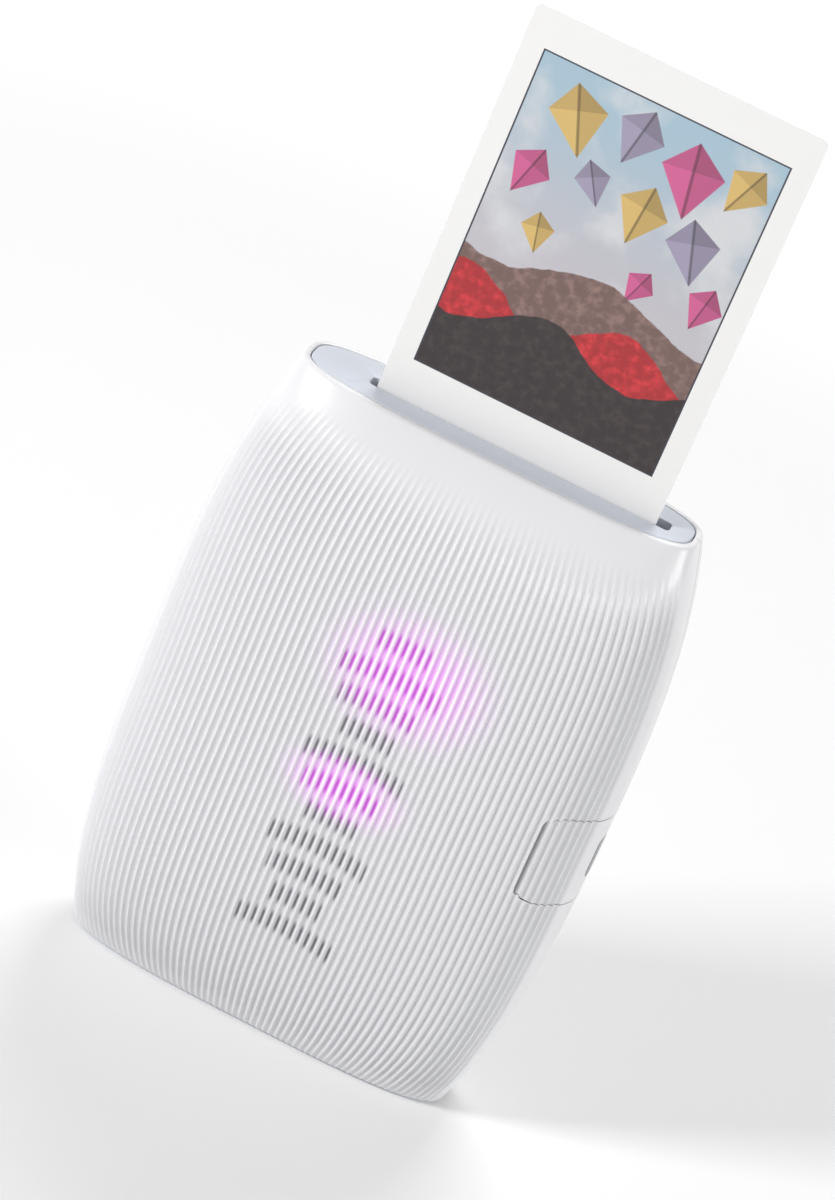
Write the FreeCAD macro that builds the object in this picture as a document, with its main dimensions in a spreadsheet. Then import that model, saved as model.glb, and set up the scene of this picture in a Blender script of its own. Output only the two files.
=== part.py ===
import FreeCAD, Part
import math
import os
import re
import types
import Sketcher
from FreeCAD import Placement, Rotation, Vector

# Compact printer for instant film. Millimetres, +Z up to the print slot, the fluted front
# faces -Y, the film door is on +Y. The origin is the centre of the base face.
doc = FreeCAD.newDocument("PhotoPrinter")
sheet = doc.addObject("Spreadsheet::Sheet", "Sizes")

SIZES = {
    # outer form
    "sideRoom": 14.5, "endTaper": 13.6, "shellAir": 1.35, "depthTaper": 18.5,
    "wall": 1.8, "rimWall": 1.2, "coverGap": 0.3, "baseReveal": 0.4,
    "ribBand": 7.4, "ribDepth": 0.45, "ribFadeTop": 4.0, "ribFadeLength": 10.0,
    # end caps
    "capThickness": 1.8, "capGap": 0.25, "slotSide": 2.0, "slotDepth": 3.3,
    "slotOffset": 3.6, "slotAhead": 0.5, "slotRound": 0.9, "sealThickness": 1.4, "sealWidth": 2.0,
    "baseThickness": 2.0, "baseFlange": 0.25, "baseInset": 0.35,
    # instant print
    "printWidth": 54.0, "printHeight": 86.0, "printThickness": 0.25, "printRound": 1.2,
    "printGrip": 9.5, "printPlane": 1.8, "packOffset": 3.1,
    # film pack
    "packSide": 3.5, "packEnd": 2.5, "packDepth": 10.2, "packBottom": 17.8, "packWall": 0.8,
    "packFrontRoom": 1.3, "windowSide": 3.5, "windowEnd": 11.5, "packSlit": 1.6,
    "filmStep": 0.3, "stackDepth": 2.4, "springPlate": 0.6,
    # chassis around the pack
    "frameWall": 1.4, "frameFit": 0.3, "frameBack": 8.0, "earFront": 8.6, "earBack": 6.2,
    "standoffRadius": 1.7, "screwRadius": 0.7, "screwHead": 1.4, "screwHeadHeight": 1.0,
    "lugReach": 5.2, "lugThickness": 2.2, "lugHeight": 6.0, "lugLow": 28.0, "lugHigh": 79.0,
    "screwFit": 0.05, "screwGrip": 4.0,
    # rollers
    "nipDrop": 8.0, "nipGap": 0.04, "rollerSide": 1.0, "shaftRadius": 1.0,
    "bushRadius": 1.9, "bushFlange": 2.6, "bushFit": 0.03, "bushCollar": 0.5,
    # gears
    "gearModule": 0.5, "gearWidth": 2.0, "gearGap": 0.5, "gearPlate": 1.0, "gearPost": 0.8,
    "idlerShift": 0.8, "reductionShift": 1.8,
    # motor
    "motorRadius": 3.6, "motorLength": 20.0, "motorShaft": 0.5,
    # exposure head
    "headHeight": 4.4, "headDepth": 7.0, "headAir": 0.5, "headGap": 0.415, "headWall": 1.0,
    "lensHeight": 1.6,
    "ledStripDepth": 0.8,
    # power and boards
    "boardThickness": 1.0, "boardWidth": 48.0, "boardRoom": 33.0, "boardAir": 0.4,
    "boardBottom": 18.0, "boardEdge": 3.0, "batteryWidth": 36.0, "batteryEnd": 4.0, "batteryDepth": 5.4,
    "batteryRound": 1.2, "chipHeight": 0.9, "chipFit": 0.02,
    "lightWidth": 28.0, "lightHeight": 46.0, "lightRise": 10.5, "lightAir": 0.28,
    "guideThickness": 0.8, "ledHeight": 0.6, "ledSide": 2.0,
    # side panels
    "panelBottom": 51.5, "panelHeight": 18.6, "panelFront": 13.0, "panelBack": 9.0, "panelReach": 19.0,
    "panelRound": 2.6, "panelSeam": 0.3, "keyPanelFront": 1.6, "keyPanelBack": 11.4,
    "portLength": 9.0, "portDepth": 3.3, "portLine": 1.5, "portFit": 0.15, "portAir": 1.96,
    "portShell": 0.35, "tongueThickness": 0.7, "tongueWidth": 6.6,
    "buttonLine": 4.9, "buttonLength": 10.0, "buttonWidth": 5.0, "buttonFit": 0.25, "buttonProud": 0.5,
    "buttonTravel": 0.4, "buttonFlange": 0.9, "switchSize": 4.0, "switchDepth": 1.6,
    # film door
    "doorSide": 2.5, "doorAbove": 0.7, "doorGap": 0.35, "doorRound": 4.0, "hingeHeight": 12.0,
    "hingeInset": 2.2, "hingePin": 0.75, "hingeBarrel": 1.7, "hingeRoll": 2.3, "hingeLength": 24.0,
    "hingeRelief": 0.6,
    "hingeLug": 3.0, "hingeFit": 0.05, "padWidth": 12.0, "padHeight": 16.0, "padThickness": 2.0,
    "padSpread": 34.0, "lockTravel": 3.0, "lockKnobLength": 9.0, "lockKnobHeight": 4.6,
    "lockKnobDepth": 1.3, "lockStem": 3.0, "lockRise": 4.1, "tongueDrop": 7.6, "catchSlot": 1.9,
    "catchLip": 1.2,
    # film pick
    "pickWidth": 3.0, "pickThickness": 1.0, "pickTravel": 8.0, "pickHeight": 42.0,
    # one overrun for every cut
    "overrun": 1.0,
}
RIB_COUNT = 60
RIB_PHASES = 2
WIDTH_CURVE_SHARE = 2.9
DEPTH_CURVE_SHARE = 5.0
MIDDLE_CORNER_SHARE = 2.4
END_CORNER_SHARE = 3.3
LEVEL_SHARES = (0.0, 0.03, 0.08, 0.16, 0.29, 0.5, 0.71, 0.84, 0.888, 0.91, 0.935, 0.968, 1.0)
OUTLINE_STEPS = 360
SMOOTH_FACETS = 40
INNER_FACETS = 22
ROOM_STEPS, PLATE_STEPS = 12, 6
BAND_FACETS = 3
ROLLER_TEETH, IDLER_TEETH, REDUCED_TEETH, LARGE_TEETH, PINION_TEETH = 13, 22, 12, 30, 10
ADDENDUM_SHARE, DEDENDUM_SHARE, BACKLASH_SHARE, PRESSURE_ANGLE = 0.8, 1.15, 0.26, 24.0
QUARTER_TURN = 90.0


def follow(**sizes):
    """Sizes that come from others; they go into the sheet as those do."""
    SIZES.update(sizes)
    return types.SimpleNamespace(**SIZES)


# The film sets the pack, the pack and what lies around it set the body
s = follow()
s = follow(packWidth=s.printWidth + 2 * s.packSide, packHeight=s.printHeight + 2 * s.packEnd,
           packWindowWidth=s.printWidth - 2 * s.windowSide, packWindowHeight=s.printHeight - 2 * s.windowEnd,
           printOut=s.printHeight - s.printGrip, slotLength=s.printWidth + 2 * s.slotSide,
           rollerLength=s.printWidth + 2 * s.rollerSide)
roller_offset = ROLLER_TEETH * s.gearModule / 2
roller_radius = roller_offset - s.printThickness / 2 - s.nipGap
chamber_line = s.printPlane + s.packFrontRoom + s.frameFit + s.frameWall
nip_line = s.packBottom + s.packHeight + s.frameFit + s.headHeight + s.headGap + roller_radius
s = follow(motorLine=chamber_line + s.frameFit + s.motorRadius,
           boardLine=chamber_line + s.frameFit + s.batteryDepth + s.boardAir,
           boardHeight=s.packHeight - s.boardRoom, doorTop=s.packBottom + s.packHeight + s.doorAbove,
           doorWidth=s.packWidth + 2 * s.doorSide, bodyWidth=s.packWidth + 2 * s.sideRoom,
           bodyHeight=nip_line + s.nipDrop)
board_front = s.boardLine + s.boardThickness + s.chipHeight + s.chipFit
s = follow(lightLine=max(board_front, s.motorLine + s.motorRadius) + s.lightAir,
           lightBottom=(s.bodyHeight - s.lightHeight) / 2 + s.lightRise, lockHeight=s.doorTop + s.lockRise,
           batteryHeight=s.boardHeight - 2 * s.batteryEnd, endWidth=s.bodyWidth - s.endTaper)
shell_line = s.lightLine + s.boardThickness + s.ledHeight + s.guideThickness + s.shellAir + s.wall
s = follow(bodyDepth=2 * shell_line, endDepth=2 * shell_line - s.depthTaper)

for row, (alias, number) in enumerate(SIZES.items(), 1):
    sheet.set(f"A{row}", alias)
    sheet.set(f"B{row}", str(number))
    sheet.setAlias(f"B{row}", alias)
doc.recompute()
parts = []
ALONG_X = Rotation(Vector(0, 1, 0), QUARTER_TURN)
ALONG_Y = Rotation(Vector(1, 0, 0), -QUARTER_TURN)
FACING_FRONT = Rotation(Vector(1, 0, 0), QUARTER_TURN)


def link(text):
    """The same formula with every size name read from the sheet."""
    return re.sub(r"[A-Za-z]\w*", lambda word: f"Sizes.{word[0]}" if word[0] in SIZES else word[0], text)


def bind(thing, formulas):
    for place, formula in formulas.items():
        thing.setExpression(place, link(formula))


def put(thing, x, y, z, turn=None):
    """Place a piece; a text is a formula of named sizes and a number is already worked out."""
    fixed = [0.0 if isinstance(place, str) else place for place in (x, y, z)]
    thing.Placement = Placement(Vector(*fixed), turn or Rotation())
    bind(thing, {f"Placement.Base.{axis}": place for axis,
                 place in zip("xyz", (x, y, z)) if isinstance(place, str)})
    return thing


def part(thing, label):
    thing.Label = label
    parts.append(thing)
    return thing


def box(name, low, size):
    thing = doc.addObject("Part::Box", name)
    bind(thing, dict(zip(("Length", "Width", "Height"), map(str, size))))
    return put(thing, *low)


def rod(name, start, radius, length, turn=None):
    thing = doc.addObject("Part::Cylinder", name)
    bind(thing, {"Radius": str(radius), "Height": str(length)})
    return put(thing, *start, turn)


def cut(name, base, tool):
    thing = doc.addObject("Part::Cut", name)
    thing.Base, thing.Tool = base, tool
    return thing


def join(name, things):
    thing = doc.addObject("Part::MultiFuse", name)
    thing.Shapes = things
    return thing


def shape(name, solid):
    thing = doc.addObject("Part::Feature", name)
    thing.Shape = solid
    return thing


def new_body(name):
    return doc.addObject("PartDesign::Body", name)


def flat_sketch(body, name):
    sketch = body.newObject("Sketcher::SketchObject", name)
    plane = [item for item in body.Origin.OriginFeatures if item.Role == "XY_Plane"][0]
    sketch.AttachmentSupport, sketch.MapMode = [(plane, "")], "FlatFace"
    return sketch


def name_size(sketch, constraint, name, formula):
    number = sketch.addConstraint(constraint)
    sketch.renameConstraint(number, name)
    sketch.setExpression(f"Constraints.{name}", link(formula))


def circle(sketch, name, radius, formula):
    ring = sketch.addGeometry(Part.Circle(Vector(), Vector(0, 0, 1), radius))
    sketch.addConstraint(Sketcher.Constraint("Coincident", ring, 3, -1, 1))
    name_size(sketch, Sketcher.Constraint("Radius", ring, radius), name, formula)


def rounded_rectangle(sketch, width, height, radius, formulas):
    """Centred on the sketch's origin; formulas give its width, height and corner radius."""
    left, right, low, high = -width / 2, width / 2, -height / 2, height / 2
    corners = ((right - radius, high - radius), (left + radius, high - radius),
               (left + radius, low + radius), (right - radius, low + radius))
    arcs = []
    for turn, (x, y) in enumerate(corners):
        ring = Part.Circle(Vector(x, y, 0), Vector(0, 0, 1), radius)
        start = turn * math.pi / 2
        arcs.append(sketch.addGeometry(Part.ArcOfCircle(ring, start, start + math.pi / 2)))
    ends = ((right - radius, high, left + radius, high), (left, high - radius, left, low + radius),
            (left + radius, low, right - radius, low), (right, low + radius, right, high - radius))
    lines = [sketch.addGeometry(Part.LineSegment(Vector(a, b, 0), Vector(c, d, 0))) for a, b, c, d in ends]
    for turn in range(4):
        following = (turn + 1) % 4
        sketch.addConstraint(Sketcher.Constraint("Tangent", arcs[turn], 2, lines[turn], 1))
        sketch.addConstraint(Sketcher.Constraint("Tangent", lines[turn], 2, arcs[following], 1))
    sketch.addConstraint(Sketcher.Constraint("Horizontal", lines[0]))
    sketch.addConstraint(Sketcher.Constraint("Vertical", lines[1]))
    sketch.addConstraint(Sketcher.Constraint("Horizontal", lines[2]))
    for turn in range(1, 4):
        sketch.addConstraint(Sketcher.Constraint("Equal", arcs[0], arcs[turn]))
    sketch.addConstraint(Sketcher.Constraint("Symmetric", arcs[0], 3, arcs[2], 3, -1, 1))
    for name, constraint in (
        ("width", Sketcher.Constraint("DistanceX", lines[1], 1, lines[3], 1, width)),
        ("height", Sketcher.Constraint("DistanceY", lines[2], 1, lines[0], 1, height)),
        ("corner", Sketcher.Constraint("Radius", arcs[0], radius)),
    ):
        name_size(sketch, constraint, name, formulas[name])


def pad(body, sketch, name, length):
    feature = body.newObject("PartDesign::Pad", name)
    feature.Profile = sketch
    feature.setExpression("Length", link(length))
    return feature


def rounded_plate(label, width, height, radius, formulas, thickness):
    """A plate with round corners, its sketch centred, its thickness along the body's Z."""
    body = new_body(label)
    sketch = flat_sketch(body, f"{label}Outline")
    rounded_rectangle(sketch, width, height, radius, formulas)
    pad(body, sketch, f"{label}Pad", thickness)
    return body


# The form: every level is a rounded section that narrows towards both ends
def section(z):
    distance = abs(z - s.bodyHeight / 2) / (s.bodyHeight / 2)
    half_width = (s.bodyWidth - (s.bodyWidth - s.endWidth) * distance**WIDTH_CURVE_SHARE) / 2
    half_depth = (s.bodyDepth - (s.bodyDepth - s.endDepth) * distance**DEPTH_CURVE_SHARE) / 2
    corner = MIDDLE_CORNER_SHARE + (END_CORNER_SHARE - MIDDLE_CORNER_SHARE) * distance**2
    wall = s.wall + (s.rimWall - s.wall) * distance**DEPTH_CURVE_SHARE
    return half_width, half_depth, corner, wall


def depth_at(z, x, inset=0.0):
    half_width, half_depth, corner, _ = section(z)
    return (half_depth - inset) * (1 - abs(x / (half_width - inset)) ** corner) ** (1 / corner)


def width_at(z, y, inset=0.0):
    half_width, half_depth, corner, _ = section(z)
    return (half_width - inset) * (1 - abs(y / (half_depth - inset)) ** corner) ** (1 / corner)


def half_outline(z, inset, side):
    """Points from the -X end to the +X end, through the front (side -1) or the back (side 1)."""
    half_width, half_depth, corner, _ = section(z)
    points = []
    for step in range(OUTLINE_STEPS + 1):
        angle = math.pi * step / OUTLINE_STEPS
        x, y = -math.cos(angle), side * math.sin(angle)
        points.append(((half_width - inset) * math.copysign(abs(x) ** (2 / corner), x),
                       (half_depth - inset) * math.copysign(abs(y) ** (2 / corner), y)))
    return points


def along(points, shares):
    """Point and unit direction at each share of a line's length; the shares rise."""
    lengths = [0.0]
    for a, b in zip(points, points[1:]):
        lengths.append(lengths[-1] + math.hypot(b[0] - a[0], b[1] - a[1]))
    found, step = [], 0
    for share in shares:
        while step < len(points) - 2 and lengths[step + 1] < share * lengths[-1]:
            step += 1
        (ax, ay), (bx, by) = points[step], points[step + 1]
        span = lengths[step + 1] - lengths[step]
        part_way = (share * lengths[-1] - lengths[step]) / span
        found.append((ax + part_way * (bx - ax), ay + part_way * (by - ay), (bx - ax) / span,
                      (by - ay) / span))
    return found


def ring_points(z, inset, turns):
    """Points round the section. Turn -1 to 0 is the front from -X to +X, 0 to 1 the back and
    1 to 2 the front again."""
    found = []
    for first in (-1, 0, 1):
        inside = [turn for turn in turns if first <= turn < first + 1 or turn == 2 == first + 1]
        if not inside:
            continue
        outline = half_outline(z, inset, 1 if first == 0 else -1)
        found += along(outline[::-1] if first == 0 else outline, [turn - first for turn in inside])
    return found


middle = half_outline(s.bodyHeight / 2, 0.0, -1)
HALF_TURN_LENGTH = sum(math.dist(a, b) for a, b in zip(middle, middle[1:]))
BAND_SHARE = s.ribBand / HALF_TURN_LENGTH
GAP_SHARE = s.coverGap / 2 / HALF_TURN_LENGTH


def marks():
    """Every corner of the outer wall as a turn and a rib phase: 0 on a crest, 1 in a valley."""
    steps = RIB_COUNT * RIB_PHASES
    ribs = [(BAND_SHARE + (1 - 2 * BAND_SHARE) * step / steps,
             step % RIB_PHASES) for step in range(steps + 1)]
    bands = [(BAND_SHARE * step / BAND_FACETS, 0) for step in range(BAND_FACETS)]
    front = bands + ribs + [(1 - share, 0) for share, _ in bands[::-1]]
    back = [(step / SMOOTH_FACETS, 0) for step in range(1, SMOOTH_FACETS)]
    return [(turn - 1, phase) for turn, phase in front] + back + [(turn + 1, phase) for turn, phase in front]


def rib_strength(z):
    """Full over most of the height and smoothly gone just below the cap."""
    rise = (s.bodyHeight - s.ribFadeTop - z) / s.ribFadeLength
    rise = min(1.0, max(0.0, rise))
    return rise * rise * (3 - 2 * rise)


def wall_section(z, start, end, inner_facets):
    inside = [(turn, phase) for turn, phase in marks() if start < turn < end]
    turns = [(start, 0)] + inside + [(end, 0)]
    outer = []
    for (_, phase), (x, y, dx, dy) in zip(turns, ring_points(z, 0.0, [turn for turn, _ in turns])):
        sink = s.ribDepth * rib_strength(z) * phase
        outer.append(Vector(x - dy * sink, y + dx * sink, z))
    shares = [start + (end - start) * step / inner_facets for step in range(inner_facets + 1)]
    inner = [Vector(x, y, z) for x, y, _, _ in ring_points(z, section(z)[3], shares)]
    return Part.makePolygon(outer + inner[::-1] + outer[:1])


def wall_loft(start, end, levels, inner_facets=INNER_FACETS):
    return Part.makeLoft([wall_section(z, start, end, inner_facets) for z in levels], True, True)


def closed_outline(z, inset, skip):
    """The section's own curve at one level, moved in; every so many of its points."""
    front = half_outline(z, inset, -1)[::skip]
    back = half_outline(z, inset, 1)[::skip]
    return [Vector(x, y, z) for x, y in front + back[-2:0:-1]]


def room(inset):
    """The space inside the form, moved in from its surface, as one solid."""
    rings = [closed_outline(z, inset, ROOM_STEPS) for z in levels]
    return Part.makeLoft([Part.makePolygon(ring + ring[:1]) for ring in rings], True, True)


def plate(z, inset, thickness):
    """A flat plate with the section's outline, from one level upwards."""
    outline = closed_outline(z, inset, PLATE_STEPS)
    return Part.Face(Part.makePolygon(outline + outline[:1])).extrude(Z * thickness)


def rounded_prism(low, size, radius, axis):
    """A box whose edges along one axis are rounded."""
    solid = Part.makeBox(*size, Vector(*low))
    edges = [edge for edge in solid.Edges
             if abs((edge.Vertexes[1].Point - edge.Vertexes[0].Point).normalize().dot(axis)) > 0.5]
    return solid.makeFillet(radius, edges)


def cylinder(radius, start, end):
    return Part.makeCylinder(radius, (end - start).Length, start, (end - start).normalize())


X, Y, Z = Vector(1, 0, 0), Vector(0, 1, 0), Vector(0, 0, 1)
levels = [s.baseReveal + (s.bodyHeight - s.baseReveal) * share for share in LEVEL_SHARES]
front_wall = wall_loft(-1 + GAP_SHARE, -GAP_SHARE, levels)
rear_wall = wall_loft(GAP_SHARE, 1 - GAP_SHARE, levels)
cap_opening = plate(s.bodyHeight, s.rimWall, s.capThickness + s.coverGap)
cap_opening.translate(Z * -(s.capThickness + s.coverGap))
base_opening = plate(0.0, s.rimWall, s.baseThickness + s.coverGap)
front_wall, rear_wall = [wall.cut([cap_opening, base_opening]) for wall in (front_wall, rear_wall)]

# Places that several pieces share
print_y = -s.printPlane
nip_z = s.bodyHeight - s.nipDrop
drive_y, pinch_y = print_y - roller_offset, print_y + roller_offset
pack_front = print_y - s.packFrontRoom
pack_left, pack_right = s.packOffset - s.packWidth / 2, s.packOffset + s.packWidth / 2
frame_left = pack_left - s.frameFit - s.frameWall
frame_right = pack_right + s.frameFit + s.frameWall
frame_front = pack_front - s.frameFit - s.frameWall
frame_bottom = s.packBottom - s.frameFit - s.frameWall
pack_top = s.packBottom + s.packHeight


def mesh_place(y, z, teeth, shift):
    """Centre of a gear that meshes below another, moved sideways by a shift."""
    reach = teeth * s.gearModule / 2
    return y + shift, z - math.sqrt(reach**2 - shift**2)


idler_y, idler_z = mesh_place(drive_y, nip_z, ROLLER_TEETH + IDLER_TEETH, s.idlerShift)
reduction_y, reduction_z = mesh_place(idler_y, idler_z, IDLER_TEETH + REDUCED_TEETH, s.reductionShift)
motor_y, motor_z = mesh_place(reduction_y, reduction_z, LARGE_TEETH + PINION_TEETH,
                              -s.motorLine - reduction_y)
gear_near = frame_left - s.gearGap
gear_far = gear_near - s.gearWidth
large_near = gear_far - s.gearGap
large_far = large_near - s.gearWidth
plate_near = large_far - s.gearGap
panel_middle = s.panelBottom + s.panelHeight / 2
port_y = -s.portLine

# Lugs and standoffs that hold the chassis in the front cover
lug_places = [(side, height) for height in (s.lugLow, s.lugHigh) for side in (-1, 1)]


def lug_x(side):
    edge = frame_right if side > 0 else frame_left
    return edge + side * s.lugReach / 2


lug_front = frame_front
lug_back = lug_front + s.lugThickness


def standoff(side, z):
    x = lug_x(side)
    return cylinder(s.standoffRadius, Vector(x, -s.bodyDepth, z), Vector(x, lug_front - s.frameFit, z))


def standoff_hole(side, z):
    x = lug_x(side)
    return cylinder(s.screwRadius + s.screwFit, Vector(x, lug_front - s.screwGrip, z),
                    Vector(x, lug_front, z))


light_x = s.packOffset
light_front = -s.lightLine - s.boardThickness
light_posts = [(light_x + side * (s.lightWidth / 2 - s.standoffRadius), s.lightBottom + up)
               for side in (-1, 1) for up in (s.standoffRadius, s.lightHeight - s.standoffRadius)]


def light_post(x, z):
    return cylinder(s.standoffRadius / 2, Vector(x, -s.bodyDepth, z), Vector(x, light_front - s.coverGap, z))


def panel_prism(side, seam):
    """The rounded window for a side panel, or the panel's own outline with no seam."""
    low_x = s.bodyWidth / 2 - s.panelReach if side > 0 else -s.bodyWidth / 2 - s.overrun
    front, back = (s.panelFront, s.panelBack) if side > 0 else (s.keyPanelFront, s.keyPanelBack)
    low = (low_x, -front - seam, s.panelBottom - seam)
    size = (s.panelReach + s.overrun, front + back + 2 * seam, s.panelHeight + 2 * seam)
    return rounded_prism(low, size, s.panelRound + seam, X)


front_solid = front_wall.cut(panel_prism(1, s.panelSeam)).cut(panel_prism(-1, s.panelSeam))
posts = [standoff(*place) for place in lug_places] + [light_post(*place) for place in light_posts]
inside_wall = room(s.wall / 2)
front_solid = front_solid.fuse([post.common(inside_wall) for post in posts])
front_solid = front_solid.cut([standoff_hole(*place) for place in lug_places])
part(shape("FrontCover", front_solid), "front_cover")

# Film door in the rear cover: a rounded opening whose lower edge rolls round the hinge
hinge_y = section(s.hingeHeight)[1] - s.hingeInset
hinge = Vector(0, hinge_y, s.hingeHeight)


def door_prism(gap):
    low = (s.packOffset - s.doorWidth / 2 - gap, hinge_y - s.hingeRoll * 3, s.hingeHeight - gap)
    size = (s.doorWidth + 2 * gap, s.bodyDepth, s.doorTop - s.hingeHeight + 2 * gap)
    solid = Part.makeBox(*size, Vector(*low))
    upper = [edge for edge in solid.Edges
             if all(vertex.Point.z > s.bodyHeight / 2 for vertex in edge.Vertexes)
             and abs(edge.Vertexes[0].Point.y - edge.Vertexes[1].Point.y) > s.hingeRoll]
    solid = solid.makeFillet(s.doorRound + gap, upper)
    across = Vector(low[0], hinge_y, s.hingeHeight)
    return solid.fuse(cylinder(s.hingeRoll + gap, across, across + X * size[0]))


def across_hinge(radius, start, end):
    return cylinder(radius, hinge + X * start, hinge + X * end)


knuckles, notches = [], []
knuckle_start = s.hingeLength / 2 + s.coverGap
knuckle_end = knuckle_start + s.hingeLug
for side in (-1, 1):
    low = min(side * knuckle_start, side * knuckle_end)
    knuckle = across_hinge(s.hingeBarrel, side * knuckle_start, side * knuckle_end)
    web = Part.makeBox(s.hingeLug, s.hingeBarrel - s.coverGap, s.hingeRoll * 2,
                       Vector(low, hinge_y - s.hingeBarrel, s.hingeHeight - s.hingeRoll * 2))
    knuckles.append(knuckle.fuse(web).cut(across_hinge(s.hingePin + s.hingeFit, -knuckle_end, knuckle_end)))
    notch = across_hinge(s.hingeBarrel + s.doorGap, side * (knuckle_start - s.coverGap),
                         side * (knuckle_end + s.coverGap))
    under = Part.makeBox(s.hingeLug + 2 * s.coverGap, s.bodyDepth, s.hingeRoll * 2,
                         Vector(low - s.coverGap, hinge_y - s.hingeRoll * 2,
                                s.hingeHeight - s.hingeRoll * 2))
    notches += [notch, under]

lock_depth = depth_at(s.lockHeight, 0.0)
lock_lean = math.degrees(math.atan((depth_at(s.lockHeight - s.lockStem,
                                             0.0) - depth_at(s.lockHeight + s.lockStem, 0.0))
                                   / (2 * s.lockStem)))
tongue_y = depth_at(s.doorTop, 0.0, s.wall) - s.catchSlot
lock_window = Part.makeBox(s.lockStem + s.lockTravel + 2 * s.coverGap, s.bodyDepth,
                           s.lockStem + 2 * s.coverGap,
                           Vector(-s.lockStem / 2 - s.coverGap, 0,
                                  s.lockHeight - s.lockStem / 2 - s.coverGap))
relief_low = s.hingeHeight - s.hingeRoll - s.hingeRelief
swing_relief = Part.makeBox(s.doorWidth, s.bodyDepth, s.hingeRoll,
                            Vector(s.packOffset - s.doorWidth / 2, hinge_y + s.coverGap, relief_low))
rear_solid = rear_wall.cut(door_prism(s.doorGap)).cut([lock_window, swing_relief])
rear_solid = rear_solid.cut(panel_prism(1, s.panelSeam)).cut(panel_prism(-1, s.panelSeam))
rear_solid = rear_solid.fuse(knuckles)
part(shape("RearCover", rear_solid), "rear_cover")

door_solid = rear_wall.common(door_prism(0.0)).cut(notches)
barrel = across_hinge(s.hingeBarrel, -s.hingeLength / 2, s.hingeLength / 2)
catch_low = s.lockStem / 2 + s.doorGap * 2
catch_length = s.lockTravel + s.catchLip
catch_z = s.lockHeight - s.tongueDrop - s.lockStem / 2
catch_front = tongue_y - s.catchSlot / 2 - s.catchLip
catch_back = depth_at(catch_z + s.lockStem, catch_low + catch_length, s.wall / 2)
catch = Part.makeBox(catch_length, catch_back - catch_front, s.lockStem,
                     Vector(catch_low, catch_front, catch_z))
catch = catch.cut(Part.makeBox(catch_length - s.catchLip + s.overrun, s.catchSlot,
                               s.lockStem + 2 * s.overrun,
                               Vector(catch_low - s.overrun, tongue_y - s.catchSlot / 2,
                                      catch_z - s.overrun)))
door_solid = door_solid.fuse([barrel, catch]).cut(across_hinge(s.hingePin + s.hingeFit, -knuckle_end,
                                                               knuckle_end))
part(shape("FilmDoor", door_solid), "film_door")
pin_start = s.coverGap - knuckle_end
part(rod("HingePin", (pin_start, hinge_y, "hingeHeight"), "hingePin", -2 * pin_start, ALONG_X), "hinge_pin")

# Caps that close the two ends
cap = plate(s.bodyHeight, s.rimWall + s.capGap, s.capThickness)
cap.translate(Z * -s.capThickness)
slot_front = print_y - s.slotAhead
slot = rounded_prism((s.slotOffset - s.slotLength / 2, slot_front,
                      s.bodyHeight - s.capThickness - s.overrun),
                     (s.slotLength, s.slotDepth, s.capThickness + 2 * s.overrun), s.slotRound, Z)
part(shape("TopCap", cap.cut(slot)), "top_cap")
base_plug = plate(0.0, s.rimWall + s.capGap, s.baseThickness)
part(shape("BottomCap", base_plug.fuse(plate(0.0, s.baseInset, s.baseFlange))), "bottom_cap")

seal_z = "bodyHeight - capThickness - sealThickness - coverGap / 2"
seals = [
    box("FrontSeal", ("slotOffset - slotLength / 2", "-printPlane - slotAhead / 2 - sealWidth", seal_z),
        ("slotLength", "sealWidth", "sealThickness")),
    box("RearSeal", ("slotOffset - slotLength / 2", "-printPlane + slotAhead", seal_z),
        ("slotLength", "sealWidth + slotAhead", "sealThickness")),
]
part(join("SlotSeals", seals), "slot_seals")

# The print on its way out, and the pack that it comes from
photo = rounded_plate("PhotoPrint", s.printWidth, s.printHeight, s.printRound,
                      {"width": "printWidth", "height": "printHeight", "corner": "printRound"},
                      "printThickness")
part(put(photo, "packOffset", "-printPlane + printThickness / 2", "bodyHeight + printOut - printHeight / 2",
         FACING_FRONT), "photo_print")

PACK_LEFT = "packOffset - packWidth / 2"
PACK_FRONT = "-printPlane - packFrontRoom"
outer_pack = box("PackOuter", (PACK_LEFT, PACK_FRONT, "packBottom"),
                 ("packWidth", "packDepth", "packHeight"))
pack_room = box("PackRoom", (f"{PACK_LEFT} + packWall", f"{PACK_FRONT} + packWall", "packBottom + packWall"),
                ("packWidth - 2 * packWall", "packDepth - 2 * packWall", "packHeight - 2 * packWall"))
pack_window = box("PackWindow", ("packOffset - packWindowWidth / 2", f"{PACK_FRONT} - overrun",
                                 "packBottom + (packHeight - packWindowHeight) / 2"),
                  ("packWindowWidth", "packWall + overrun * 1.1", "packWindowHeight"))
pack_slit = box("PackSlit", ("packOffset - printWidth / 2 - filmStep", f"{PACK_FRONT} + packWall",
                             "packBottom + packHeight - packWall - overrun"),
                ("printWidth + 2 * filmStep", "packSlit", "packWall + 2 * overrun"))
pick_notch = box("PickNotch", ("packOffset - printWidth / 4 - pickWidth / 2 - filmStep",
                               f"{PACK_FRONT} - overrun",
                               "packBottom - overrun"),
                 ("pickWidth + 2 * filmStep", "packSlit + packWall + overrun", "packWall + 2 * overrun"))
pack_shell = cut("PackShell", outer_pack, join("PackCuts", [pack_room, pack_window, pack_slit, pick_notch]))
part(pack_shell, "film_pack_shell")
FILM_BACK = "-printPlane + printThickness / 2 + filmStep"
part(box("FilmStack", ("packOffset - printWidth / 2", FILM_BACK, "packBottom + packWall + filmStep"),
         ("printWidth", "stackDepth", "printHeight")), "film_stack")
part(box("SpringPlate", ("packOffset - printWidth / 2", f"{FILM_BACK} + stackDepth + filmStep",
                         "packBottom + packWall + filmStep"),
         ("printWidth", "springPlate", "printHeight")), "pack_pressure_plate")

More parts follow.
